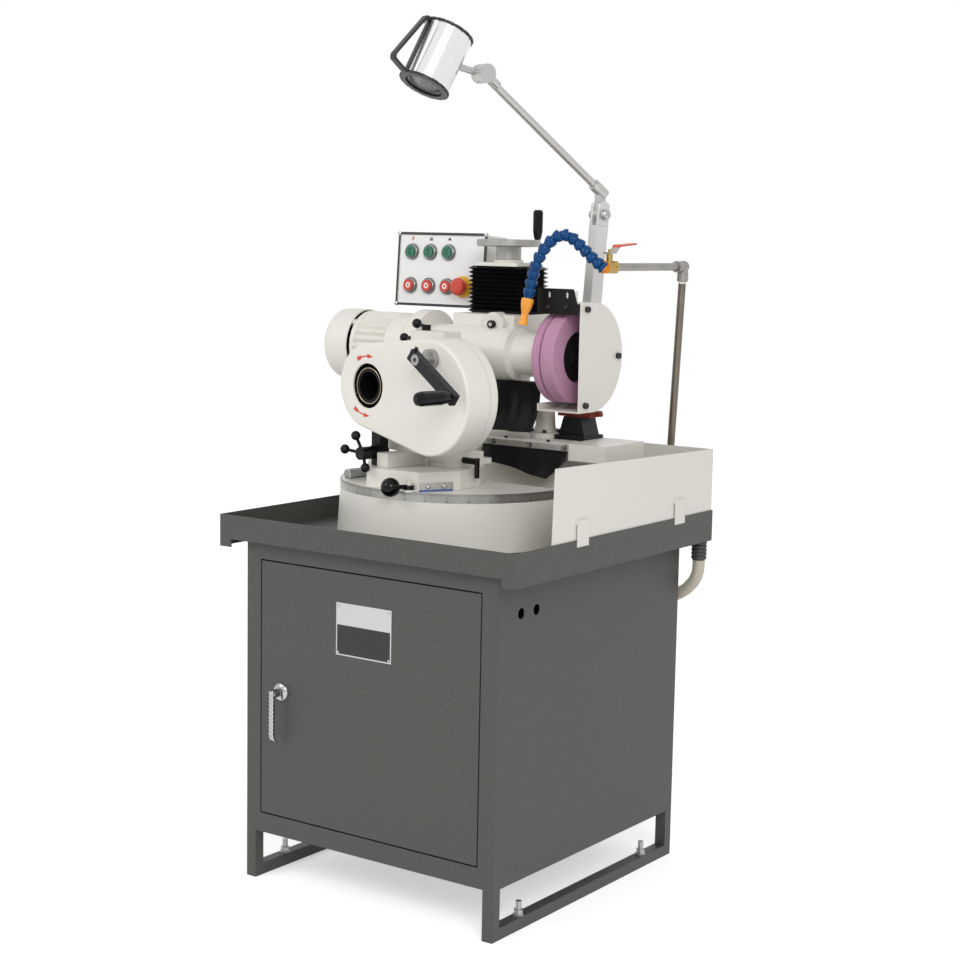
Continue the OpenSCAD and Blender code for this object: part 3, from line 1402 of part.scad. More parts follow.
// Flat bail handle on the head's front
module bail_handle() {
    h = head_l / 2;
    rotate([90, 0, 0]) translate([0, 0, -8]) linear_extrude(16) difference() {
        polygon([[0, -h - 2], [8, -h - 2], [46, -h + 8], [28, h - 14], [10, h + 2], [0, h + 2]]);
        polygon([[9, -h + 5], [37, -h + 13], [22, h - 17], [9, h - 6]]);
    }
}

stand_frame();
cabinet_panels();
levelling_feet();
tray();
splash_guard();
coolant_tank();
drain_hose();
coolant_pipe();
valve_body();
valve_lever();
coolant_hose();
coolant_nozzle();
door();
door_fittings();
door_handle();
base_casting();
scale_ring();
swivel_plate();
vernier_plate();
swivel_lever();
feed_bracket();
feed_slide();
feed_capstan();
slide_lever();
headstock();
gear_cover();
index_lever();
index_plunger();
work_spindle();
idler_gear();
crank_shaft();
crank_arm();
crank_grip();
bed_casting();
lower_apron();
dresser_stand();
column();
bellows();
handwheel();
handwheel_grip();
wheelhead();
motor_frame();
rotor_shaft();
grinding_wheel();
wheel_guard();
guard_shutter();
upper_apron();
control_box();
button_collars();
start_button_1();
start_button_2();
start_button_3();
stop_button_1();
stop_button_2();
stop_button_3();
emergency_stop();
lamp_base();
lamp_post();
lamp_arm();
lamp_head();
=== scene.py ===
import bmesh
import bpy
import numpy as np
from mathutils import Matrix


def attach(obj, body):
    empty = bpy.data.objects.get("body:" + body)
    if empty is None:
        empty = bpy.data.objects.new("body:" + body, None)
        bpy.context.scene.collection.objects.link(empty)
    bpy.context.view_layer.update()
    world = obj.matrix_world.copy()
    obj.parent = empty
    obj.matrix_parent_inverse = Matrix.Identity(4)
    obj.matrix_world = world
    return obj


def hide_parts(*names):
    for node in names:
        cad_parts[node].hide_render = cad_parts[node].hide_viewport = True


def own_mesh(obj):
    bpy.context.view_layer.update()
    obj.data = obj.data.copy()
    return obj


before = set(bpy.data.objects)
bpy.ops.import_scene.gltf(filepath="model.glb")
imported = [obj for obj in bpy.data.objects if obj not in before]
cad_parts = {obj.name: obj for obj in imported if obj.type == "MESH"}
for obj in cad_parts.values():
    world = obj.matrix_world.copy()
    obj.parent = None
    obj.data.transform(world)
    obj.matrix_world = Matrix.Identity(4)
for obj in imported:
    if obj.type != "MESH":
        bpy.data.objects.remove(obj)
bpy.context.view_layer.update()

# Camera
# The photograph's view: a long lens from the front right, a little above the tray and turned by
# a degree.
azimuth, elevation, roll = np.radians([35.445, 7.546, 1.057])
level_share = np.cos(elevation)
back = np.array([np.sin(azimuth) * level_share, -np.cos(azimuth) * level_share, np.sin(elevation)])
level = np.array([np.cos(azimuth), np.sin(azimuth), 0.0])
upright = np.cross(back, level)
camera = bpy.data.objects.new("camera", bpy.data.cameras.new("camera"))
bpy.context.scene.collection.objects.link(camera)
camera.data.lens = 70.697
camera.data.clip_end = 100
turn = np.eye(4)
turn[:3, 0] = np.cos(roll) * level + np.sin(roll) * upright
turn[:3, 1] = np.cos(roll) * upright - np.sin(roll) * level
turn[:3, 2] = back
turn[:3, 3] = [2.386622, -3.262195, 1.393976]
camera.matrix_world = turn.T.tolist()
bpy.context.scene.camera = camera
bpy.context.scene.view_settings.view_transform = "Standard"

# Light and floor
# A pale room: even white light all round, one broad lamp from the front right and a weaker one
# from the left.
world = bpy.data.worlds.new("room")
bpy.context.scene.world = world
world.use_nodes = True
sky = world.node_tree.nodes["Background"]


def where_seen(tree, hidden, shown):
    """The value `shown` for rays from the camera, off a glossy face or through glass, and `hidden`
    for the rest."""
    rays = tree.nodes.new("ShaderNodeLightPath")
    most = rays.outputs["Is Camera Ray"]
    for kind in ("Is Glossy Ray", "Is Transmission Ray"):
        larger = tree.nodes.new("ShaderNodeMath")
        larger.operation = "MAXIMUM"
        tree.links.new(most, larger.inputs[0])
        tree.links.new(rays.outputs[kind], larger.inputs[1])
        most = larger.outputs[0]
    level_of = tree.nodes.new("ShaderNodeMapRange")
    level_of.inputs["To Min"].default_value = hidden
    level_of.inputs["To Max"].default_value = shown
    tree.links.new(most, level_of.inputs["Value"])
    return level_of.outputs[0]


world.node_tree.links.new(where_seen(world.node_tree, 0.55, 1.0), sky.inputs["Strength"])
sky.inputs["Color"].default_value = (1, 1, 1, 1)


def broad_lamp(name, place, aim, watts, size):
    """A square area lamp at place, turned so that its -Z axis points from place to aim."""
    lamp = bpy.data.objects.new(name, bpy.data.lights.new(name, "AREA"))
    lamp.data.energy = watts
    lamp.data.size = size
    away = np.subtract(place, aim) / np.linalg.norm(np.subtract(place, aim))
    side = np.cross([0, 0, 1], away) / np.linalg.norm(np.cross([0, 0, 1], away))
    pose = np.eye(4)
    pose[:3, :3] = np.stack([side, np.cross(away, side), away], 1)
    pose[:3, 3] = place
    lamp.matrix_world = pose.T.tolist()
    bpy.context.scene.collection.objects.link(lamp)


broad_lamp("left_lamp", (-2.6, -5.2, 4.4), (0, 0, 0.9), 92, 2.6)
broad_lamp("right_lamp", (3.8, -3.8, 3.8), (0, 0, 0.9), 130, 2.6)


def skin(name, grid, material=None, body=None, loop=(False, False), sharp=35):
    """A mesh of quads over a grid of points (rows, columns, 3). loop joins the last row or column to
    the first."""
    rows, cols = grid.shape[:2]
    i = np.arange(rows if loop[0] else rows - 1)[:, None]
    j = np.arange(cols if loop[1] else cols - 1)[None, :]
    near, far, over = i * cols, (i + 1) % rows * cols, (j + 1) % cols
    quads = np.stack([near + j, near + over, far + over, far + j], -1)
    return settle(name, grid, quads.reshape(-1, 4).tolist(), material, body, sharp)


def settle(name, points, faces, material=None, body=None, sharp=35):
    """A mesh of points and faces: points that fall together are merged, faces turned outwards, edges
    over `sharp` degrees kept sharp, and the piece put on its body."""
    mesh = bpy.data.meshes.new(name)
    mesh.from_pydata(np.reshape(points, (-1, 3)).tolist(), [], faces)
    work = bmesh.new()
    work.from_mesh(mesh)
    bmesh.ops.remove_doubles(work, verts=work.verts, dist=2e-6)
    bmesh.ops.dissolve_degenerate(work, edges=work.edges, dist=1e-6)
    bmesh.ops.recalc_face_normals(work, faces=work.faces)
    work.to_mesh(mesh)
    work.free()
    mesh.shade_smooth()
    mesh.set_sharp_from_angle(angle=np.radians(sharp))
    piece = bpy.data.objects.new(name, mesh)
    bpy.context.scene.collection.objects.link(piece)
    if material:
        mesh.materials.append(material)
    if body:
        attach(piece, body)
    return piece


floor_edge = np.array([-9.0, 9.0])
floor = skin("floor", np.stack(np.broadcast_arrays(floor_edge[:, None], floor_edge, 0.0), -1))
pale = bpy.data.materials.new("pale_floor")
pale.use_nodes = True
pale_shader = pale.node_tree.nodes["Principled BSDF"]
pale_shader.inputs["Base Color"].default_value = (0.93, 0.93, 0.93, 1)
pale_shader.inputs["Roughness"].default_value = 0.8
pale_shader.inputs["Emission Color"].default_value = (1, 1, 1, 1)
pale.node_tree.links.new(where_seen(pale.node_tree, 0.0, 0.5), pale_shader.inputs["Emission Strength"])
floor.data.materials.append(pale)


# Cabinet, tray and door
# Welded square tube with folded sheet panels, a folded drip tray and a door with turned-in edges,
# all powder-coated in one fine-textured mid grey.
def srgb(r, g, b):
    """A colour given by its 0-255 screen values, as the linear colour that a shader takes."""
    c = np.array([r, g, b]) / 255
    return tuple(np.where(c <= 0.04045, c / 12.92, ((c + 0.055) / 1.055) ** 2.4))


def finish(name, colour, rough, metal=0.0, tint=0.04, cloud=6.0, wear=0.05, grain=0.0, depth=0.0,
           stretch=(1, 1, 1), edge=0.0, coat=0.0, shine=0.5, other=None):
    """A surface whose colour drifts by the share `tint` and whose roughness by `wear` with a slow noise of
    `cloud` cycles a metre. A fine noise of `grain` cycles, stretched for brushed lines, raises a bump of
    `depth` metres, edge rounds corners in the shading, and shine is the strength of the mirror part.
    other = (axis, value, colour, rough, metal) gives a second finish to the side of the piece where that
    coordinate is over the value."""
    material = bpy.data.materials.new(name)
    material.use_nodes = True
    tree = material.node_tree
    shader = tree.nodes["Principled BSDF"]
    place = tree.nodes.new("ShaderNodeTexCoord").outputs["Object"]

    def add(kind, **sockets):
        node = tree.nodes.new(kind)
        for key, value in sockets.items():
            socket = node.inputs[key.replace("_", " ")]
            if isinstance(value, bpy.types.NodeSocket):
                tree.links.new(value, socket)
            else:
                socket.default_value = value
        return node

    slow = add("ShaderNodeTexNoise", Vector=place, Scale=cloud, Detail=4.0).outputs["Fac"]

    def blend(low, high, factor):
        """Two colours mixed by a factor."""
        node = tree.nodes.new("ShaderNodeMix")
        node.data_type = "RGBA"
        for socket, value in ((node.inputs[0], factor), (node.inputs[6], low), (node.inputs[7], high)):
            if isinstance(value, bpy.types.NodeSocket):
                tree.links.new(value, socket)
            else:
                socket.default_value = value
        return node.outputs[2]

    def drift(base):
        lo, hi = (tuple(min(1.0, c * k) for c in base) + (1,) for k in (1 - tint, 1 + tint))
        return blend(lo, hi, slow)

    def gloss(base):
        low, high = max(0.02, base - wear), min(1, base + wear)
        return add("ShaderNodeMapRange", Value=slow, To_Min=low, To_Max=high).outputs[0]

    colour_out, rough_out = drift(colour), gloss(rough)
    if other:
        axis, value, colour2, rough2, metal2 = other
        split = add("ShaderNodeSeparateXYZ", Vector=place).outputs[axis]
        over = tree.nodes.new("ShaderNodeMath")
        over.operation = "GREATER_THAN"
        tree.links.new(split, over.inputs[0])
        over.inputs[1].default_value = value
        colour_out = blend(colour_out, drift(colour2), over.outputs[0])
        mixed = add("ShaderNodeMix", Factor=over.outputs[0], A=rough_out, B=gloss(rough2))
        rough_out = mixed.outputs[0]
        metals = add("ShaderNodeMapRange", Value=over.outputs[0], To_Min=metal, To_Max=metal2)
        tree.links.new(metals.outputs[0], shader.inputs["Metallic"])
    else:
        shader.inputs["Metallic"].default_value = metal
    tree.links.new(colour_out, shader.inputs["Base Color"])
    tree.links.new(rough_out, shader.inputs["Roughness"])
    shader.inputs["Coat Weight"].default_value = coat
    shader.inputs["Specular IOR Level"].default_value = shine
    normal = add("ShaderNodeBevel", Radius=edge).outputs[0] if edge else None
    if grain:
        stretched = add("ShaderNodeMapping", Vector=place, Scale=stretch).outputs[0]
        fine = add("ShaderNodeTexNoise", Vector=stretched, Scale=grain, Detail=2.0).outputs["Fac"]
        bump = add("ShaderNodeBump", Height=fine, Distance=depth, Strength=1.0)
        if normal:
            tree.links.new(normal, bump.inputs["Normal"])
        normal = bump.outputs[0]
    if normal:
        tree.links.new(normal, shader.inputs["Normal"])
    return material


def paint(material, *names):
    """Gives a finish to CAD pieces by their names."""
    for name in names:
        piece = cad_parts[name]
        if not piece.data.materials:
            piece.data.materials.append(material)
        for slot in piece.material_slots:
            slot.material = material


powder_grey = finish("powder_grey", srgb(70, 70, 67), 0.50, tint=0.50, cloud=190, grain=900,
                     depth=0.0002, edge=0.0012)
paint(powder_grey, "stand_frame", "cabinet_panels", "tray", "door")


# Drain hose
# Soft clear tubing, gone beige, hanging from the tray's ribbed outlet to a spigot in the back panel.
def at(points):
    """Points in millimetres from the cabinet's middle, as metres in the machine's frame."""
    cabinet_middle = [28, 13.52, 0]
    return (np.asarray(points, float) + cabinet_middle) / 1000


def tube(route, radius, sides, across=(0, 1, 0)):
    """A ring of points round each point of a route: across is carried square to the route, and the ring
    turns in the plane of across and the third direction. radius may vary along the route."""
    run = np.gradient(route, axis=0)
    run /= np.linalg.norm(run, axis=1)[:, None]
    side = np.cross(run, across)
    side /= np.linalg.norm(side, axis=1)[:, None]
    third = np.cross(run, side)
    a = np.linspace(0, 2 * np.pi, sides, endpoint=False)[None, :, None]
    r = np.broadcast_to(np.asarray(radius, float).reshape(-1, 1, 1), (len(route), 1, 1))
    return route[:, None] + r * (np.cos(a) * side[:, None] + np.sin(a) * third[:, None])


def smooth_route(points, n):
    """A route through the points, resampled by the cubic of its neighbours at n even steps."""
    p = np.concatenate([2 * points[:1] - points[1:2], points, 2 * points[-1:] - points[-2:-1]])
    t = np.linspace(0, len(points) - 1 - 1e-9, n)
    k = t.astype(int)
    u = (t - k)[:, None]
    a, b, c, d = p[k], p[k + 1], p[k + 2], p[k + 3]
    square, cube = 2 * a - 5 * b + 4 * c - d, 3 * b - a - 3 * c + d
    return 0.5 * (2 * b + (c - a) * u + square * u ** 2 + cube * u ** 3)


drain_points = at([
    [359, 378, 676], [359, 378, 664], [358, 378, 652], [355, 378, 640], [349, 378, 628], [340, 378, 617],
    [330, 378, 607], [317, 378, 598], [302, 378, 590], [286, 378, 583], [268, 378, 577], [249, 378, 571],
    [229, 378, 565], [208, 378, 559], [187, 378, 553], [166, 378, 547], [146, 378, 541]])
drain_route = smooth_route(drain_points, 96)
clear_beige = finish("clear_beige", srgb(194, 187, 170), 0.24, tint=0.10, cloud=22, wear=0.08, coat=0.2)
beige_shader = clear_beige.node_tree.nodes["Principled BSDF"]
beige_shader.inputs["Subsurface Weight"].default_value = 0.35
beige_shader.inputs["Subsurface Radius"].default_value = (0.01, 0.008, 0.005)
drain = skin("drain_tube", tube(drain_route, 0.014, 20), clear_beige, "stand", (False, True))


def lathe(profile, centre, axis, sides=48):
    """A profile of (radius, height) pairs turned about an axis through centre."""
    axis = np.asarray(axis, float) / np.linalg.norm(axis)
    side = np.cross(axis, [0, 1, 0] if abs(axis[1]) < 0.8 else [1, 0, 0])
    side /= np.linalg.norm(side)
    third = np.cross(axis, side)
    r, h = np.asarray(profile, float).T
    a = np.linspace(0, 2 * np.pi, sides, endpoint=False)[None, :, None]
    spin = np.cos(a) * side + np.sin(a) * third
    return np.asarray(centre) + r[:, None, None] * spin + h[:, None, None] * axis


outlet_grey = finish("outlet_grey", srgb(60, 61, 57), 0.55, tint=0.12, cloud=60, grain=300, depth=0.00008)
ribs, h = 7, np.linspace(0, 1, 97)
ribbed = np.stack([0.0148 + 0.0026 * np.abs(np.sin(np.pi * ribs * h)) ** 0.6, 0.002 + 0.0585 * h], 1)
outlet = np.concatenate([[[0.010, 0.0005], [0.0148, 0.0005]], ribbed, [[0.010, 0.0605]]])
tray_outlet = skin("tray_outlet", lathe(outlet, drain_points[0], (0, 0, 1)), outlet_grey, "stand",
                   (True, True), 25)
spigot = [[0.009, 0], [0.0138, 0], [0.0138, 0.02], [0.0168, 0.0205], [0.0168, 0.0245], [0.0138, 0.025],
          [0.0138, 0.061], [0.0125, 0.064], [0, 0.064]]
drain_spigot = skin("drain_spigot", lathe(spigot, at([146, 328, 541]), (0, 1, 0)), clear_beige,
                    "stand", (False, True))
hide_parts("drain_hose")

# Floor studs
# Zinc-plated studs through the floor rails, each with a nut and a washer.
zinc = finish("zinc", srgb(176, 176, 174), 0.38, 0.9, tint=0.12, cloud=60, wear=0.12, grain=500,
              depth=0.00006)
paint(zinc, "levelling_feet")

# Door plate and handle
# A bare plate of thin aluminium riveted to the door, and a chromed turn-handle on a domed rose: its
# flat bar is pressed with a row of beads and curls in at the foot.
chrome = finish("chrome", srgb(176, 176, 176), 0.12, 1.0, tint=0.03, wear=0.05)
plate_metal = finish("plate_metal", srgb(196, 196, 194), 0.40, 0.7, tint=0.06, cloud=30, grain=900,
                     depth=0.00003, stretch=(0.05, 1, 1))


def bar(name, low, high, material, body, round_off=0.0008):
    """A bar between two corners: a square section carried along X and closed at both ends, its edges
    rounded."""
    (x0, y0, z0), (x1, y1, z1) = low, high
    ends = np.array([x0, x0, x1, x1])
    size = np.array([0, 1, 1, 0])
    ring = np.array([[y0, z0], [y1, z0], [y1, z1], [y0, z1]])
    middle = ring.mean(0)
    section = middle + size[:, None, None] * (ring - middle)
    grid = np.concatenate([np.broadcast_to(ends[:, None, None], (4, 4, 1)), section], -1)
    piece = skin(name, grid, material, body, (False, True), 30)
    bevel = piece.modifiers.new("edge", "BEVEL")
    bevel.width = round_off
    bevel.segments = 2
    return piece


def rings(name, grids, material, body, sharp):
    """One mesh of several grids (count, rows, columns, 3), each joined to itself along its columns."""
    count, rows, cols = grids.shape[:3]
    k, i, j = np.meshgrid(np.arange(count), np.arange(rows - 1), np.arange(cols), indexing="ij")
    near, far, over = (k * rows + i) * cols, (k * rows + i + 1) * cols, (j + 1) % cols
    quads = np.stack([near + j, near + over, far + over, far + j], -1)
    return settle(name, grids, quads.reshape(-1, 4).tolist(), material, body, sharp)


def turned(name, spots, profile, place, axis, material, body, sides=40):
    """One mesh of the same turned profile at several spots."""
    grids = np.stack([lathe(profile, place(np.array(p, float)), axis, sides) for p in spots])
    return rings(name, grids, material, body, 40)


plate_ink = finish("plate_ink", srgb(26, 26, 27), 0.4, tint=0.1, cloud=40)
door_y, plate_y = -350.01, -351.2
ink_x, ink_z = np.meshgrid([-76, 62], [527, 588])
skin("plate_field", at(np.stack(np.broadcast_arrays(ink_x, plate_y - 0.15, ink_z), -1)), plate_ink, "door")
plate = bar("door_plate", at([-79, plate_y, 524]), at([65, door_y, 634]), plate_metal, "door", 0.0004)
rivet = [[0.0, 0.0], [0.0028, 0.0], [0.0026, 0.0008], [0.0016, 0.0014], [0.0, 0.0016]]
rivet_spots = [(x, plate_y, z) for x in (-73, 59) for z in (530, 628)]
turned("plate_rivets", rivet_spots, rivet, at, (0, -1, 0), zinc, "door", 20)
dome = [[0.00712, 0.0], [0.020, 0.0], [0.0199, 0.0018], [0.0186, 0.0042], [0.0158, 0.0064],
        [0.0118, 0.0077], [0.0090, 0.0080], [0.00712, 0.0080], [0.00712, 0.0]]
handle_x, handle_z = -229, 421
turned("handle_rose", [(handle_x, door_y, handle_z)], dome, at, (0, -1, 0), chrome, "door", 56)
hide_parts("door_fittings")
spindle = [[0.0, -0.024], [0.00695, -0.024], [0.00695, 0.0098], [0.0090, 0.010], [0.0090, 0.026],
           [0.0082, 0.0285], [0.0, 0.0290]]
hub = turned("handle_hub", [(handle_x, -350, handle_z)], spindle, at, (0, -1, 0), chrome, "door_handle", 40)
t = np.linspace(0, 1, 160)
drop = 429 - 113 * t
curl = 11 * np.clip((t - 0.86) / 0.14, 0, 1) ** 2
beads, beaded = np.abs(np.sin(np.pi * 13 * t)), t < 0.88
thick = 3.4 + 1.3 * beads * beaded
wide = 6.2 - 0.9 * (1 - beads) * beaded
close = np.where((t == 0) | (t == 1), 0.0, 1.0)
a = np.linspace(0, 2 * np.pi, 24, endpoint=False)
squarish = np.stack([np.cos(a), np.sin(a)], 1)
squarish = np.sign(squarish) * np.abs(squarish) ** 0.5
strap = np.stack(np.broadcast_arrays(
    handle_x + (close * wide)[:, None] * squarish[:, 0],
    -379 + curl[:, None] + (close * thick)[:, None] * squarish[:, 1],
    drop[:, None]), -1)
skin("handle_strap", at(strap), chrome, "door_handle", (False, True), 50)
bar("handle_cam", at([-239, -329, 358]), at([-219, -325, 433]), zinc, "door_handle")
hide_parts("door_handle")

# Splash guard
# A folded sheet of cream enamel standing in the tray's back corner on two clips over the rim.
cream = finish("cream_enamel", srgb(229, 226, 218), 0.36, tint=0.025, cloud=5, wear=0.06, grain=170,
               depth=0.00005, edge=0.0022)
paint(cream, "splash_guard")

# Coolant tank, pipe and valve
# A painted tank with its pump in the cabinet, a steel pipe up the back with a brighter cast elbow on
# white thread tape, and a brass ball valve with a dipped lever and an orange hose connector.
tank_grey = finish("tank_grey", srgb(120, 122, 122), 0.5, tint=0.05, grain=400, depth=0.00008)
paint(tank_grey, "coolant_tank")
elbow_foot = 1.290
galvanised = finish("galvanised", srgb(118, 110, 99), 0.34, 0.85, tint=0.30, cloud=30, wear=0.14,
                    grain=260, depth=0.00008, stretch=(1, 1, 0.2),
                    other=(2, elbow_foot, srgb(152, 149, 144), 0.34, 0.85))
paint(galvanised, "coolant_pipe")
tape_white = finish("tape_white", srgb(240, 240, 238), 0.6, tint=0.03)
pipe_lean = np.radians(2.5)
pipe_way = (-np.sin(pipe_lean), 0, -np.cos(pipe_lean))
tape = [[0.0080, 0.0], [0.0092, 0.0003], [0.0092, 0.0047], [0.0080, 0.005]]
turned("pipe_tape", [(277.58, 408, 1289.6)], tape, at, pipe_way, tape_white, "stand", 32)
brass = finish("valve_brass", srgb(240, 158, 44), 0.35, 0.0, tint=0.12, cloud=70, wear=0.1,
               other=(1, at([0, 101.5, 0])[1], srgb(178, 150, 84), 0.34, 0.9))
paint(brass, "valve_body")
dip_red = finish("dip_red", srgb(176, 174, 168), 0.35, 0.9, tint=0.05, coat=0.3,
                 other=(1, at([0, 141, 0])[1], srgb(208, 70, 42), 0.34, 0.0))
paint(dip_red, "valve_lever")

# Coolant hose and nozzle
# Snap-together hose of blue moulded cups, each tapering to a ball in the next one's socket, and an
# orange nozzle on the last.
hose_points = at([
    [268, 93, 1319.5], [260, 89, 1327], [248, 83, 1338], [236, 78, 1351], [224, 72, 1364], [212, 66, 1377],
    [199, 58, 1387], [185, 49, 1387], [172, 40, 1377], [162, 31, 1362], [154, 24, 1345], [149, 18, 1327],
    [145, 14, 1309], [142, 11, 1291], [140, 8, 1273], [138, 5, 1255]])
bell = np.array([
    [0.0, 0.46], [0.005, 0.42], [0.0080, 0.28], [0.0096, 0.10], [0.0104, -0.05], [0.0118, -0.08],
    [0.0128, -0.03], [0.0134, 0.07], [0.0135, 0.18], [0.0131, 0.32], [0.0121, 0.48], [0.0107, 0.63],
    [0.0095, 0.76], [0.0088, 0.86], [0.0087, 1.0], [0.0083, 1.08], [0.0, 1.14]])
start, step = hose_points[:-1], np.diff(hose_points, axis=0)
reach = np.linalg.norm(step, axis=1)
ahead = step / reach[:, None]
side = np.cross(ahead, [0.5, -0.8, 0.1])
side /= np.linalg.norm(side, axis=1)[:, None]
third = np.cross(ahead, side)
a = np.linspace(0, 2 * np.pi, 32, endpoint=False)
spin = np.cos(a)[None, :, None] * side[:, None] + np.sin(a)[None, :, None] * third[:, None]
cup_r, along = bell[:, 0, None, None], bell[:, 1] * reach[:, None]
bells = start[:, None, None] + cup_r * spin[:, None] + along[:, :, None, None] * ahead[:, None, None]
hose_blue = finish("hose_blue", srgb(6, 66, 120), 0.22, tint=0.08, cloud=40, shine=0.10, coat=0.2)
hose = rings("hose_bells", bells, hose_blue, "hose", 50)
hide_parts("coolant_hose")
nozzle_orange = finish("nozzle_orange", srgb(244, 160, 40), 0.30, tint=0.04, cloud=40, coat=0.25)
jet_way = at([131, -3, 1199]) - hose_points[-1]
mouth_h = float(np.linalg.norm(jet_way))
jet = [[0.0, 0.0003], [0.0105, 0.0003], [0.0126, 0.0012], [0.0132, 0.004], [0.0131, 0.009],
       [0.0122, 0.016], [0.0102, 0.024], [0.0082, 0.030], [0.0074, 0.034], [0.0074, 0.037],
       [0.0106, mouth_h - 0.002], [0.0106, mouth_h], [0.0076, mouth_h], [0.006, mouth_h - 0.02],
       [0.0, mouth_h - 0.02]]
nozzle = skin("nozzle_jet", lathe(jet, hose_points[-1], jet_way), nozzle_orange, "nozzle",
              (False, True), 40)
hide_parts("coolant_nozzle")

# Base and scale ring
# A half-round cream casting with a ground steel ring let into its rim, graduated in degrees.
paint(cream, "base_casting", "swivel_plate", "feed_slide", "headstock", "bed_casting", "column",
      "wheelhead", "motor_frame", "wheel_guard", "control_box")
ground_steel = finish("ground_steel", srgb(186, 184, 180), 0.30, 0.9, tint=0.14, cloud=35, wear=0.12,
                      grain=700, depth=0.00002, stretch=(1, 1, 0.08))
paint(ground_steel, "vernier_plate", "idler_gear")
wheel_steel = finish("wheel_steel", srgb(162, 161, 158), 0.36, 0.7, tint=0.06, cloud=20, wear=0.08,
                     edge=0.001)
paint(wheel_steel, "handwheel", "crank_shaft")
# The scale ring's colour drifts by nearly half in slow patches: painted dark and bright reflections on the
# ground steel.
ring_steel_painted_reflections = finish("ring_steel_painted_reflections", srgb(156, 154, 150), 0.30, 0.85, tint=0.45, cloud=16, wear=0.12,
                    grain=700, depth=0.00002, stretch=(1, 1, 0.08))
paint(ring_steel_painted_reflections, "scale_ring")
# Black for the ring's etched ticks and figures, and painted shade for the crank's hexagon socket.
etched_and_shade = finish("etched_and_shade_black", srgb(20, 20, 20), 0.6, tint=0.1)
ring_r, ring_top, pivot_x = 260.08, 860.8, -25
degree = np.arange(-172, -7)
tall = np.where(degree % 10 == 0, 0.0095, np.where(degree % 5 == 0, 0.007, 0.0048))
half = np.radians([-0.10, 0.10])
angle = np.radians(degree)[:, None] + half[None, :]
ticks = np.zeros((len(degree), 2, 2, 3))
ticks[..., 0] = pivot_x + ring_r * np.cos(angle)[:, None]
ticks[..., 1] = ring_r * np.sin(angle)[:, None]
ticks[..., 2] = ring_top
ticks[:, 1, :, 2] -= 1000 * tall[:, None]
quads = (np.arange(len(degree)) * 4)[:, None] + np.array([0, 1, 3, 2])
settle("ring_ticks", at(ticks), quads.tolist(), etched_and_shade, "stand")


def figures(words, size):
    """Plain figures from the built-in font, laid flat: points (x right, y up) in millimetres and
    their faces."""
    curve = bpy.data.curves.new("figures", "FONT")
    curve.body, curve.size, curve.align_x, curve.resolution_u = words, size, "CENTER", 3
    holder = bpy.data.objects.new("figures", curve)
    bpy.context.scene.collection.objects.link(holder)
    flat = bpy.data.meshes.new_from_object(holder.evaluated_get(bpy.context.evaluated_depsgraph_get()))
    points = np.zeros(3 * len(flat.vertices))
    flat.vertices.foreach_get("co", points)
    faces = [tuple(f.vertices) for f in flat.polygons]
    bpy.data.objects.remove(holder)
    bpy.data.meshes.remove(flat)
    return points.reshape(-1, 3), faces


number_points, number_faces = [], []
for angle in range(-80, 81, 10):
    points, faces = figures(str(abs(angle)), 6.0)
    around = np.radians(angle - 90) + points[:, 0] / ring_r
    ring = np.stack([ring_r * np.cos(around) + pivot_x, ring_r * np.sin(around), 844.2 + points[:, 1]], 1)
    number_faces += [tuple(v + sum(map(len, number_points)) for v in f) for f in faces]
    number_points.append(at(ring))
settle("ring_numbers", np.concatenate(number_points), number_faces, etched_and_shade, "stand")


# Vernier plate
# A small steel plate screwed to the swivel plate's edge over the ring, its foot still under blue
# film.
def workhead(points):
    """Points in the workhead's own frame in millimetres: turned -10 degrees about the swivel's pivot."""
    p = np.asarray(points, float)
    c, s = np.cos(np.radians(10)), np.sin(np.radians(10))
    x, y, z = p[..., 0], p[..., 1], p[..., 2]
    return at(np.stack([pivot_x + x * c + y * s, y * c - x * s, z], -1))


def vernier(points):
    """Points on the vernier in millimetres: x along the plate, y into it, z up, turned 69.65 degrees
    on the workhead."""
    p = np.asarray(points, float)
    c, s = np.cos(np.radians(69.65)), np.sin(np.radians(69.65))
    x, y, z = p[..., 0], p[..., 1], p[..., 2]
    return workhead(np.stack([123.5 + x * c - y * s, -179.5 + x * s + y * c, 861.2 + z], -1))


film_blue = finish("film_blue", srgb(38, 78, 168), 0.35, tint=0.15, cloud=120)
x, z = np.meshgrid(np.linspace(-46, 29, 40), np.array([0.3, 3.6]))
wavy = np.where(z > 1, z + 0.8 * np.sin(x * 0.9) + 0.5 * np.sin(x * 2.3), z)
skin("vernier_film", vernier(np.stack([x, np.full_like(x, -3.2), wavy], -1)), film_blue, "swivel")
outward = vernier([0, -1, 0]) - vernier([0, 0, 0])
screw = [[0.0, 0.0], [0.0048, 0.0], [0.0048, 0.0016], [0.0040, 0.0032], [0.0022, 0.0041], [0.0, 0.0043]]
turned("vernier_screws", [(-26, -5.0, 10), (10, -5.0, 10)], screw, vernier, outward, chrome, "swivel", 32)

# Stop barrel
# A turned steel barrel with a domed nose, let into the swivel plate's left side.
barrel_steel = finish("barrel_steel", srgb(150, 150, 150), 0.34, 0.7, tint=0.08, cloud=40, wear=0.08)
nose = [[0.0, -0.0012], [0.008, -0.0010], [0.0104, 0.0], [0.01125, 0.0018], [0.01125, 0.074], [0.0, 0.074]]
inward = workhead([0, 1, 0]) - workhead([0, 0, 0])
turned("stop_barrel", [(-118, -222, 874.2)], nose, workhead, inward, barrel_steel, "swivel", 48)

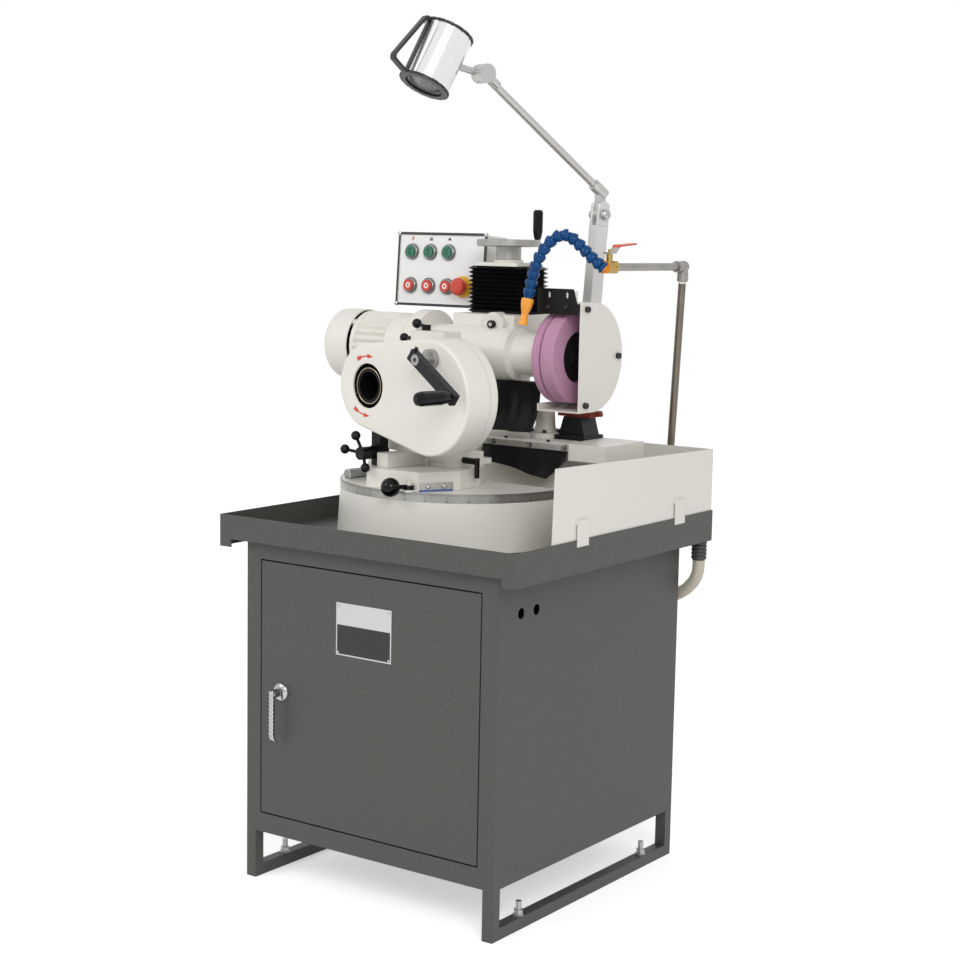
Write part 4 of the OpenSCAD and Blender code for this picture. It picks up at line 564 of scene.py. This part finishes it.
# Levers and capstan
# Black phenolic balls, hubs and grips, glossy and a little worn, with the rods blackened to match.
phenolic = finish("black_phenolic", srgb(6, 6, 7), 0.16, tint=0.1, cloud=30, shine=0.22)
paint(phenolic, "swivel_lever", "feed_capstan", "slide_lever", "index_lever", "index_plunger", "crank_grip",
      "handwheel_grip")

# Gear cover
# A deep pressed lid over the gears, cream enamel, with a seam round its back, its front edge rolled
# over and its opening turned in round the spindle.
spindle_z, lid_front, lid_roll = 1073, -270, 6


def lid_outline(inset, n=360):
    """The line round two circles, radius 88 at the spindle and 117 at the idler, drawn in by inset: the
    left arc of the first, the lower tangent, the right arc of the second and the upper tangent, sampled
    at n even directions from the spindle. x right and z up from the spindle in millimetres."""
    left = np.radians(np.linspace(95.47, 256.93, 400))
    right = np.radians(np.linspace(-103.07, 95.47, 600))
    small = (88 - inset) * np.stack([np.cos(left), np.sin(left)], 1)
    large = (117 - inset) * np.stack([np.cos(right), np.sin(right)], 1) + [179.604, -11.929]
    t = np.linspace(0, 1, 300)[:, None]
    lower, upper = small[-1] + t * (large[0] - small[-1]), large[-1] + t * (small[0] - large[-1])
    line = np.concatenate([small, lower, large, upper])
    bearing = np.unwrap(np.arctan2(line[:, 1], line[:, 0]))
    even = bearing[0] + np.linspace(0, 2 * np.pi, n, endpoint=False)
    return np.stack([np.interp(even, bearing, line[:, k]) for k in range(2)], 1)


def lid_row(points, y):
    """A row of the lid's grid: x and z from the outline, y given, moved up to the spindle's height."""
    return np.insert(points, 1, y, axis=1) + [0, 0, spindle_z]


roll = np.radians(np.linspace(0, 90, 9))
face_line = lid_outline(lid_roll)
way_in = np.arctan2(face_line[:, 1], face_line[:, 0])
mouth = np.stack([np.cos(way_in), np.sin(way_in)], 1)
seam = ((0, -197), (0, -206), (1.3, -206.2), (1.3, -207.8), (0, -208))
lid_rows = [lid_row(lid_outline(inset), y) for inset, y in seam]
lid_rows += [lid_row(lid_outline(lid_roll * (1 - np.cos(t))), lid_front + lid_roll * (1 - np.sin(t)))
             for t in roll]
lid_rows += [lid_row((46 + e) * mouth, lid_front + d) for e, d in ((1.5, 0), (0.4, 0.4), (0, 1.5), (0, 4))]
lid = skin("cover_lid", workhead(np.stack(lid_rows)), cream, "workhead", (False, True), 40)
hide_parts("gear_cover")

# Gear cover's turning marks
# Two red arrows printed on the cover above and below the bore, feathered at the tail.
def turning_arrow(name, middle, sense):
    """A ribbon along an arc of radius 75 whose middle is 61 mm from the bore's axis, 26 mm to each side:
    a zigzag tail for the first quarter, a thin shaft, then a head that runs out to a point."""
    t = np.array([0, 0.07, 0.07, 0.15, 0.15, 0.23, 0.23, 0.30, 0.42, 0.54, 0.64, 0.64, 0.73, 0.82, 0.91, 1])
    w = np.array([5.4, 3.4, 5.4, 3.0, 5.2, 2.4, 4.2, 1.4, 1.4, 1.4, 1.4, 4.8, 3.7, 2.5, 1.2, 0.0])
    lean = np.array([-3, 0, -3, 0, -3, 0, -3, 0, 0, 0, 0, 0, 0, 0, 0, 0])
    angle = np.radians(middle + sense * (20 - 40 * t))[:, None]
    radius = 75 + w[:, None] * np.array([[-1, 1]])
    shift = sense * lean[:, None] * 0.4
    x = radius * np.cos(angle) - shift * np.sin(angle) - 14 * np.cos(np.radians(middle))
    z = radius * np.sin(angle) + shift * np.cos(angle) - 14 * np.sin(np.radians(middle))
    points = np.stack([x, np.full_like(x, lid_front - 0.12), spindle_z + z], -1)
    skin(name, workhead(points), arrow_red, "workhead")


arrow_red = finish("arrow_red", srgb(206, 60, 32), 0.4, tint=0.05)
turning_arrow("upper_arrow", 98, 1)
turning_arrow("lower_arrow", 253, -1)

# Work spindle and crank
# A blackened spindle with a bright turned rim at its mouth, and a blackened crank clamped on the
# pinion's shaft, whose end has a hexagon socket, drawn as a flat black hexagon of painted shade.
oiled = finish("oiled_black", srgb(34, 34, 36), 0.42, 0.3, tint=0.15, cloud=40, wear=0.12, grain=600,
               depth=0.00004, shine=0.3)
paint(oiled, "crank_arm", "rotor_shaft")
spindle_black = finish("spindle_black", srgb(15, 15, 16), 0.5, 0.2, tint=0.15, cloud=40, wear=0.1,
                       shine=0.15)
paint(spindle_black, "work_spindle")
ring_brass = finish("ring_brass", srgb(168, 152, 124), 0.3, 0.9, tint=0.08)
ring = [[0.0358, -0.0002], [0.0366, -0.0007], [0.0376, -0.0003], [0.0378, 0.0004], [0.0358, 0.0004]]
ring_place = workhead([0, lid_front + 4, spindle_z])
skin("spindle_ring", lathe(ring, ring_place, inward, 64), ring_brass, "spindle", (True, True))
# The socket is a flat black hexagon just proud of the shaft's end: painted shade in place of its recess.
socket = [[0.0, 0.0003], [0.0046, 0.0003], [0.0046, -0.002]]
crank_end = (193.496, -317, 1139.856)
turned("crank_socket_shade", [crank_end], socket, workhead, -inward, etched_and_shade, "crank", 6)

# Dresser
# A black tapered stand on the bed with a red-brown dressing head on top.
head_foot = 0.9975
dresser_paint = finish("dresser_paint", srgb(22, 22, 23), 0.45, tint=0.15, grain=300, depth=0.00008,
                       shine=0.25, other=(2, head_foot, srgb(134, 58, 44), 0.5, 0.0))
paint(dresser_paint, "dresser_stand")

# Bed strip and screws
# A ground steel strip along the bed's front, black cap screws in it, on the pillar's flange and on
# the bed.
screw_black = finish("screw_black", srgb(28, 28, 29), 0.38, 0.4, tint=0.1)
bar("bed_strip", at([-8.2, 53.7, 933.8]), at([213.2, 57.2, 947.2]), ground_steel, "stand", 0.0006)
cap = np.array([[0.0, 0.0], [0.0057, 0.0], [0.0057, 0.0052], [0.0050, 0.0061], [0.0030, 0.0061],
                [0.0028, 0.0036], [0.0, 0.0036]])
strip_spots = [(x, 54, 940.5) for x in (20, 115, 205)]
turned("strip_screws", strip_spots, cap, at, (0, -1, 0), screw_black, "stand", 36)
turn_by = np.radians([30, 120, 210, 300])
flange_spots = np.stack([93 + 29 * np.cos(turn_by), 150 + 29 * np.sin(turn_by), np.full(4, 959.0)], 1)
turned("pillar_screws", flange_spots, cap * [0.76, 1.2], at, (0, 0, 1), screw_black, "stand", 32)
bed_spots = [(40, 76, 948), (150, 76, 948), (206, 120, 948)]
turned("bed_screws", bed_spots, cap * 0.7, at, (0, 0, 1), screw_black, "stand", 32)

# Aprons
# Two sheets of black rubber that hang over the slideways from steel strips, in shallow folds.
rubber = finish("black_rubber", srgb(11, 11, 12), 0.42, shine=0.22, tint=0.2, cloud=18, wear=0.14,
                grain=220, depth=0.00010)


def rubber_sheet(name, grid, body):
    """A sheet over a grid of points, thickened to 2.4 mm."""
    sheet = skin(name, grid, rubber, body, sharp=60)
    thick = sheet.modifiers.new("thickness", "SOLIDIFY")
    thick.thickness = 0.0024
    thick.offset = 0
    return sheet


u, v = np.meshgrid(np.linspace(0, 1, 90), np.linspace(0, 1, 40))
drop = np.where(u < 0.78, 28 + 42 * u, 61 - 200 * (u - 0.78))
fall = np.clip((v - 0.15) / 0.85, 0, 1)
low_grid = at(np.stack([-8 + 219 * u, 58.5 - fall * (10 + 6 * np.sin(4 * np.pi * u)),
                        np.where(v < 0.15, 946 - 14 * v / 0.15, 932 - fall * drop)], -1))
low = rubber_sheet("lower_apron_sheet", low_grid, "stand")
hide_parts("lower_apron")
high_grid = at(np.stack([-36 + 150 * u, 96.5 + v * (5 * np.sin(5 * np.pi * u) - 6) - 32 * v ** 3,
                         1071 - 105 * v], -1))
high = rubber_sheet("upper_apron_sheet", high_grid, "wheelhead")
bar("upper_apron_strip", at([-36, 98, 1055]), at([114, 106, 1072.9]), ground_steel, "wheelhead")
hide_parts("upper_apron")

# Bellows
# A pleated rubber cover round the column: each pleat comes to an edge and folds in between.
pleats = 11
pleat = np.linspace(0, pleats, pleats * 10 + 1)
inset = 8.5 * np.abs(2 * (pleat % 1) - 1) ** 0.85
corner = np.linspace(0, np.pi / 2, 6)
quarter = np.stack([np.cos(corner), np.sin(corner)], 1)
turns = np.concatenate([quarter, quarter[:, ::-1] * [-1, 1], -quarter, quarter[:, ::-1] * [1, -1]])
signs = np.repeat([[1, 1], [-1, 1], [-1, -1], [1, -1]], 6, axis=0)
half_size = np.array([81.5, 43.0])
outline = signs * (half_size - 3) + 3 * turns
shrink = 1 - inset[:, None, None] / half_size
rise = np.broadcast_to((1212.3 + 103.4 * pleat / pleats)[:, None, None], (len(pleat), len(outline), 1))
folds = np.concatenate([outline[None] * shrink, rise], -1)
cover = skin("bellows_cover", at(folds + [-43, 192, 0]), rubber, "stand", (False, True), 30)
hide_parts("bellows")
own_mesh(cover)

# Motor
# The cast frame's cooling fins are thick rounded ridges, closed at the fan's end by a smooth rim. The
# boss on the wheelhead's front has a black plug.
fin_count, motor_y, motor_z = 28, 100, 1130
phi = np.linspace(0, 2 * np.pi, fin_count * 16, endpoint=False)[None, :]
ridge = 67.4 + 9.1 * ((1 + np.cos(fin_count * phi)) / 2) ** 1.3
fin_x = np.array([-358.0, -262.6])[:, None]
fins = np.broadcast_arrays(fin_x, motor_y + ridge * np.sin(phi), motor_z + ridge * np.cos(phi))
skin("motor_fins", at(np.stack(fins, -1)), cream, "wheelhead", (False, True), 60)
rim = [[0.060, 0.0], [0.0752, 0.0], [0.0766, 0.0012], [0.0769, 0.004], [0.0762, 0.0072], [0.0735, 0.010],
       [0.060, 0.0125]]
turned("motor_rim", [(-360.8, motor_y, motor_z)], rim, at, (1, 0, 0), cream, "wheelhead", 96)
plug = [[0.0042, 0.006], [0.0044, 0.0102], [0.0080, 0.0104], [0.0086, 0.0098], [0.0087, 0.0001],
        [0.0, 0.0001]]
turned("boss_plug", [(-8, 86, 1192)], plug, at, (0, -1, 0), phenolic, "wheelhead", 36)

# Grinding wheels
# Two wheels of pink bonded grain on the motor's shaft.
grain_pink = finish("grain_pink", srgb(190, 142, 172), 0.88, tint=0.34, cloud=420, wear=0.05, grain=700,
                    depth=0.0005)
paint(grain_pink, "grinding_wheel")

# Wheel guard and shutter
# The guard's cover plate is cream and its three knurled screws are black. The shutter is a black plate
# with two round-ended slots, its outer end cut at a slant.
screw_foot = at([243.3, 0, 0])[0]
guard_cream = finish("guard_cream", srgb(229, 226, 218), 0.36, tint=0.025, cloud=5, wear=0.06, grain=170,
                     depth=0.00005, edge=0.0015, other=(0, screw_foot, srgb(24, 24, 25), 0.35, 0.0))
paint(guard_cream, "wheel_guard")
shutter_black = finish("shutter_black", srgb(14, 14, 15), 0.45, tint=0.12, cloud=20, wear=0.1, grain=300,
                       depth=0.00005, edge=0.0006, shine=0.2)
paint(shutter_black, "feed_bracket")
slot_z, slot_r, slot_x = 1263, 3.5, (168, 212)
slot_rows = slot_z + 2 * slot_r * np.sin(np.radians(np.linspace(-90, 90, 13)))
level = np.concatenate([[1222, 1242], slot_rows, [1276]])
gap = np.sqrt(slot_r ** 2 - np.clip(np.abs(level - slot_z) - slot_r, 0, slot_r) ** 2)
end = 238 - 11 * np.clip((level - 1242) / 34, 0, 1)
sides = [x + side * gap for x in slot_x for side in (-1, 1)]
lines = np.stack([np.full_like(gap, 138), *sides, end], 1)
strips = np.arange(len(level) - 1)[:, None, None] * 6 + np.array([[0], [2], [4]]) + np.array([0, 1, 7, 6])
plate_points = at(np.stack(np.broadcast_arrays(lines, 41.5, level[:, None]), -1))
shutter = settle("shutter_plate", plate_points, strips.reshape(-1, 4).tolist(), shutter_black, "shutter")
shutter.data.shade_flat()
thick = shutter.modifiers.new("thickness", "SOLIDIFY")
thick.thickness, thick.offset = 0.003, 0
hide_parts("guard_shutter")
wing = [[0.0, 0.0], [0.0062, 0.0], [0.0062, 0.0016], [0.0042, 0.0020], [0.0040, 0.0058],
        [0.0030, 0.0066], [0.0, 0.0068]]
wing_spots = [(x, 40, 1236) for x in slot_x]
turned("shutter_screws", wing_spots, wing, at, (0, -1, 0), screw_black, "shutter", 32)

# Control panel
# A folded steel box leaning back on a post: white face, dark edge strip with plated corners,
# six moulded buttons in turned bezels and a mushroom stop on a yellow disc.
def panel(points):
    """Points on the leaning panel in millimetres: x right, y into the box, z up its face, tilted 4
    degrees."""
    p = np.asarray(points, float)
    c, s = np.cos(np.radians(4)), np.sin(np.radians(4))
    x, y, z = p[..., 0], p[..., 1], p[..., 2]
    return at(np.stack([-386 + x, 232 + y * c + z * s, 1221 - y * s + z * c], -1))


outwards = panel([0, -1, 0]) - panel([0, 0, 0])
panel_white = finish("panel_white", srgb(238, 238, 238), 0.4, tint=0.015, grain=500, depth=0.00003)
face_x, face_z = np.meshgrid([-1, 246], [-1, 163])
face = np.stack(np.broadcast_arrays(face_x, -0.4, face_z), -1)
skin("panel_face", panel(face), panel_white, "stand")
edge_black = finish("edge_black", srgb(44, 44, 46), 0.45, tint=0.1, grain=400, depth=0.00004)
outer = np.array([[-4.2, -4.2], [249.2, -4.2], [249.2, 166.2], [-4.2, 166.2]])
inner = np.array([[1.8, 1.8], [243.2, 1.8], [243.2, 160.2], [1.8, 160.2]])
strip_rows = ((outer, 0), (outer, -3.3), (inner, -3.3), (inner, 0))
loops = np.stack([np.insert(corners, 1, y, axis=1) for corners, y in strip_rows], 1)
skin("panel_edge", panel(loops), edge_black, "stand", (True, True), 20)
stud = [[0.0, 0.0], [0.0052, 0.0], [0.0052, 0.0036], [0.0044, 0.0052], [0.0022, 0.0060], [0.0, 0.0062]]
stud_spots = [(x, 0, z) for z in (-1, 163) for x in (-1, 246)]
turned("panel_corners", stud_spots, stud, panel, outwards, chrome, "stand")
bezel = finish("bezel_silver", srgb(132, 132, 130), 0.30, 0.9, tint=0.06, wear=0.06)
rim = [[0.0133, 0.0], [0.019, 0.0], [0.019, 0.0015], [0.0187, 0.0042], [0.0178, 0.0066], [0.0163, 0.0082],
       [0.0148, 0.0089], [0.0136, 0.0086], [0.0133, 0.0075], [0.0133, 0.0]]
button_x, stop_z, start_z = (37, 90, 143), 43, 121
spots = [(x, 0, z) for x in button_x for z in (stop_z, start_z)]
bezels = turned("button_bezels", spots, rim, panel, outwards, bezel, "stand", 48)
disc_yellow = finish("disc_yellow", srgb(238, 190, 42), 0.4, tint=0.03)
disc = [[0.0121, 0.0], [0.025, 0.0], [0.025, 0.0022], [0.0245, 0.003], [0.0121, 0.003], [0.0121, 0.0]]
turned("stop_disc", [(188, 0, stop_z)], disc, panel, outwards, disc_yellow, "stand", 56)
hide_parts("button_collars")
cap_green = finish("cap_green", srgb(36, 112, 86), 0.34, tint=0.05, coat=0.2)
cap_red = finish("cap_red", srgb(206, 64, 46), 0.32, coat=0.2)
paint(cap_green, "start_button_1", "start_button_2", "start_button_3")
paint(cap_red, "stop_button_1", "stop_button_2", "stop_button_3", "emergency_stop")
mark_white = finish("mark_white", srgb(240, 240, 238), 0.4, tint=0.02)
mark_grey = finish("mark_grey", srgb(176, 176, 174), 0.4, tint=0.02)
mark_dark = finish("mark_dark", srgb(12, 44, 34), 0.4, tint=0.02)
letter_o = [[0.0032, 0.0121], [0.0064, 0.0121], [0.0064, 0.0123], [0.0032, 0.0123], [0.0032, 0.0121]]
letter_i = np.array([[-3.4, -7.0], [3.4, -7.0], [3.4, 7.0], [-3.4, 7.0]])
for i, x in enumerate(button_x, 1):
    turned(f"stop_mark_{i}", [(x, 0, stop_z)], letter_o, panel, outwards, mark_white, f"stop_button_{i}")
    stroke = [np.insert(share * letter_i + [x, start_z], 1, -12.15, axis=1) for share in (1.0, 0.6)]
    skin(f"start_mark_{i}", panel(np.stack(stroke, 1)), mark_dark, f"start_button_{i}", (True, False))
bolt_sign = [(-1, 7), (3, 7), (0.5, 1.5), (4, 1.5), (-3, -7), (-1, -0.8), (-4, -0.8)]
frame_sign = [(-5, -5), (5, -5), (5, 5), (-5, 5), (-5, 4), (4, 4), (4, -4), (-4, -4), (-4, 4), (-5, 4)]
peak_sign = [(-6, -3), (6, -3), (0, 6)]
signs = (("motor_mark", bolt_sign, arrow_red), ("lamp_mark", frame_sign, mark_grey),
         ("pump_mark", peak_sign, edge_black))
for middle, (name, sign, material) in zip(button_x, signs):
    mark = np.array([(middle + x, -0.6, 151 + 0.8 * y) for x, y in sign])
    settle(name, panel(mark), [tuple(range(len(mark)))], material, "stand")

# Lamp
# A square aluminium lower arm, a round upper arm, and a fluted aluminium head between two black
# scalloped rings, with a black bail to turn it by.
bright = finish("bright_aluminium", srgb(190, 189, 187), 0.30, 0.75, tint=0.06, cloud=14, wear=0.06)
satin = finish("satin_aluminium", srgb(212, 211, 209), 0.36, 0.45, tint=0.04, cloud=14, wear=0.05,
               grain=500, depth=0.00002, stretch=(1, 1, 0.06), edge=0.001)
paint(bright, "lamp_base", "lamp_arm")


def lamp_plane(points):
    """Points in the lamp's upright plane in millimetres: x forward along the arms, y across, turned
    -109 degrees."""
    p = np.asarray(points, float)
    c, s = np.cos(np.radians(-109)), np.sin(np.radians(-109))
    x, y, z = p[..., 0], p[..., 1], p[..., 2]
    return at(np.stack([129 + x * c - y * s, 240 + x * s + y * c, z], -1))


post_z, post_half = 982, 15


def lamp_post(points):
    """Points on the post in millimetres: z along it from its pivot, leaning 4.6 degrees back."""
    p = np.asarray(points, float)
    c, s = np.cos(np.radians(4.6)), np.sin(np.radians(4.6))
    x, y, z = p[..., 0], p[..., 1], p[..., 2]
    return lamp_plane(np.stack([x * c - z * s, y, post_z + x * s + z * c], -1))


def post_slab(name, across, low, high, top):
    """A slab of the post between two values across it: a 30 mm wide outline from low to high whose top
    corners have the radius `top`, carried across and closed to its middle at both faces."""
    a = np.radians(np.linspace(0, 90, 9))
    right = np.stack([post_half - top + top * np.cos(a), high - top + top * np.sin(a)], 1)
    line = np.concatenate([[[-post_half, low], [post_half, low]], right, right[::-1] * [-1, 1]])
    grow = np.array([0, 1, 1, 0])[:, None, None]
    face = line.mean(0) + grow * (line - line.mean(0))
    y = np.repeat(across, 2)[:, None]
    grid = np.stack(np.broadcast_arrays(face[..., 0], y, face[..., 1]), -1)
    slab = skin(name, lamp_post(grid), satin, "lamp_post", (False, True), 30)
    bevel = slab.modifiers.new("edge", "BEVEL")
    bevel.width, bevel.segments = 0.0012, 2
    return slab


post = post_slab("post_tube", (-post_half, post_half), -14, 428.4, 0.01)
post_slab("post_near_cheek", (-post_half, -7.2), 428, 479.9, 11)
post_slab("post_far_cheek", (7.2, post_half), 428, 479.9, 11)
crosswise = lamp_plane([0, 1, 0]) - lamp_plane([0, 0, 0])
pin = [[0.0, -0.025], [0.0054, -0.025], [0.006, -0.0244], [0.006, 0.0244], [0.0054, 0.025], [0.0, 0.025]]
turned("post_pin", [(0, 0, post_z)], pin, lamp_plane, crosswise, bright, "lamp_post", 32)
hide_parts("lamp_post")
bolt = [[0.0112, -0.0077], [0.0115, -0.0072], [0.0115, 0.0004], [0.0106, 0.0028], [0.0076, 0.0050],
        [0.0036, 0.0060], [0.0, 0.0062]]
elbow_x, elbow_z = -36.25, 1432.53
turned("elbow_bolt", [(elbow_x, -23, elbow_z)], bolt, lamp_plane, -crosswise, chrome, "lamp_arm", 48)
turned("elbow_nut", [(elbow_x, 23, elbow_z)], bolt, lamp_plane, crosswise, chrome, "lamp_arm", 48)


def lamp_head(points):
    """Points in the head's own frame in millimetres: its axis leans back 28 degrees from upright, 120
    mm beyond the knuckle."""
    p = np.asarray(points, float)
    c, s = np.cos(np.radians(28)), np.sin(np.radians(28))
    x, y, z = p[..., 0], p[..., 1], p[..., 2]
    return lamp_plane(np.stack([401.92 + x * c - z * s, y, 1739.2 + x * s + z * c], -1))


def lamp_way(degrees):
    """The direction in the lamp's plane that rises forward by an angle."""
    rise = np.radians(degrees)
    return lamp_plane([np.cos(rise), 0, np.sin(rise)]) - lamp_plane([0, 0, 0])


arm_tube = [[0.0, -0.0142], [0.0118, -0.0142], [0.0131, -0.0128], [0.0131, 0.0232], [0.0122, 0.0243],
            [0.0087, 0.0246], [0.0087, 0.3722], [0.0, 0.3722]]
tube_foot = (elbow_x, 0, elbow_z + 51)
turned("lamp_tube", [tube_foot], arm_tube, lamp_plane, lamp_way(36), bright, "lamp_arm", 48)
polished = finish("polished_aluminium", srgb(232, 232, 231), 0.16, 0.85, tint=0.05, cloud=10, wear=0.05)
theta = np.linspace(0, 2 * np.pi, 320, endpoint=False)[None, :]
flute = 52 - 1.3 * np.clip(np.cos(12 * theta) * 3 - 2.0, 0, 1)


def round_wall(radius, height):
    """A wall round the head's axis: radius may vary with the angle and the row."""
    radius, height, angle = np.broadcast_arrays(radius, height, theta)
    return lamp_head(np.stack([radius * np.cos(angle), radius * np.sin(angle), height], -1))


level_ring = np.ones_like(theta)
shade, point = 42 * level_ring, 0 * level_ring
barrel_r = np.concatenate([shade, flute, flute, point, point, shade])
barrel_z = np.array([-61, -61, 61, 61, 39, 39])[:, None]
barrel = skin("lamp_barrel", round_wall(barrel_r, barrel_z), polished, "lamp_head", (True, True), 20)
ring_plastic = finish("ring_plastic", srgb(26, 26, 27), 0.4, tint=0.1, grain=300, depth=0.00006)
scallop = 54.8 - 2.0 * np.clip(np.cos(16 * theta) * 2.4 - 1.4, 0, 1)
lip = 40 * level_ring
scalloped = [scallop - 1.2, scallop, scallop, scallop - 1.0]
low_z = np.array([-64.9, -64.9, -64, -60, -59.1, -59.1])[:, None]
skin("lamp_ring_low", round_wall(np.concatenate([lip, *scalloped, lip]), low_z), ring_plastic, "lamp_head",
     (True, True), 30)
high_z = np.array([64.4, 64.9, 64.9, 64, 60, 59.1, 59.1])[:, None]
skin("lamp_ring_high", round_wall(np.concatenate([point, lip, *scalloped, point]), high_z), ring_plastic,
     "lamp_head", (False, True), 30)
lens_glass = finish("lens_glass", srgb(46, 46, 48), 0.10, tint=0.1, coat=0.5)
pane = np.array([0.0, 30, 42])[:, None] * level_ring
skin("lamp_pane", round_wall(pane, -46), lens_glass, "lamp_head", (False, True))
bail_knots = np.array([[50, 0, 59.2], [63, 0, 59.2], [93, 0, -46], [90, 0, -54], [56, 0, -62],
                       [50, 0, -62]], float)
spread = np.concatenate([[0], np.cumsum(np.linalg.norm(np.diff(bail_knots, axis=0), axis=1))])
even = np.linspace(0, spread[-1], 160)
bail_run = np.stack([np.interp(even, spread, bail_knots[:, k]) for k in range(3)], 1)
soft = np.hanning(11) / np.hanning(11).sum()
bail_run[5:-5] = np.stack([np.convolve(bail_run[:, k], soft, "valid") for k in range(3)], 1)
t = np.linspace(0, 2 * np.pi, 24, endpoint=False)
run = np.gradient(bail_run, axis=0)
run /= np.linalg.norm(run, axis=1)[:, None]
out = np.stack([-run[:, 2], 0 * run[:, 0], run[:, 0]], 1)
square = np.stack([np.cos(t), np.sin(t)])[:, :, None]
square = np.sign(square) * np.abs(square) ** 0.35
oval = bail_run[:, None] + 3.0 * square[0] * out[:, None] + 9 * square[1] * np.array([0, 1, 0])
skin("lamp_bail", lamp_head(oval), ring_plastic, "lamp_head", (False, True), 50)
x, z = np.meshgrid(np.radians(np.linspace(-10, 10, 9)), np.linspace(-59, 59, 2))
spine = np.stack([52.6 * np.cos(x), 52.6 * np.sin(x), z], -1)
skin("lamp_spine", lamp_head(spine), ring_plastic, "lamp_head")
toggle = [[0.0, 0.0], [0.0042, 0.0], [0.0035, 0.012], [0.0030, 0.0148], [0.0, 0.015]]
up = lamp_head([0, 0, 1]) - lamp_head([0, 0, 0])
turned("lamp_switch", [(-18, 10, 64)], toggle, lamp_head, up, ring_plastic, "lamp_head")
puck = [[0.0, 0.0], [0.0195, 0.0], [0.02, 0.0008], [0.02, 0.016], [0.0192, 0.017], [0.0055, 0.017],
        [0.0050, 0.0155], [0.0, 0.0155]]
hexed = [[0.0, 0.0176], [0.0050, 0.0176], [0.0050, 0.0150]]
neck = [[0.0, 0.012], [0.0075, 0.012], [0.0075, 0.060], [0.0085, 0.062], [0.0085, 0.070], [0.0, 0.070]]
knuckle_x, knuckle_z = 284.12, 1716.3
knuckle_at = [(knuckle_x, 0, knuckle_z)]
turned("lamp_knuckle_screw", knuckle_at, hexed, lamp_plane, -crosswise, ring_plastic, "lamp_head", 6)
turned("lamp_knuckle", knuckle_at, puck, lamp_plane, -crosswise, bright, "lamp_head", 56)
turned("lamp_stem", [(knuckle_x, -8, knuckle_z)], neck, lamp_plane, lamp_way(11), bright, "lamp_head", 32)
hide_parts("lamp_head")
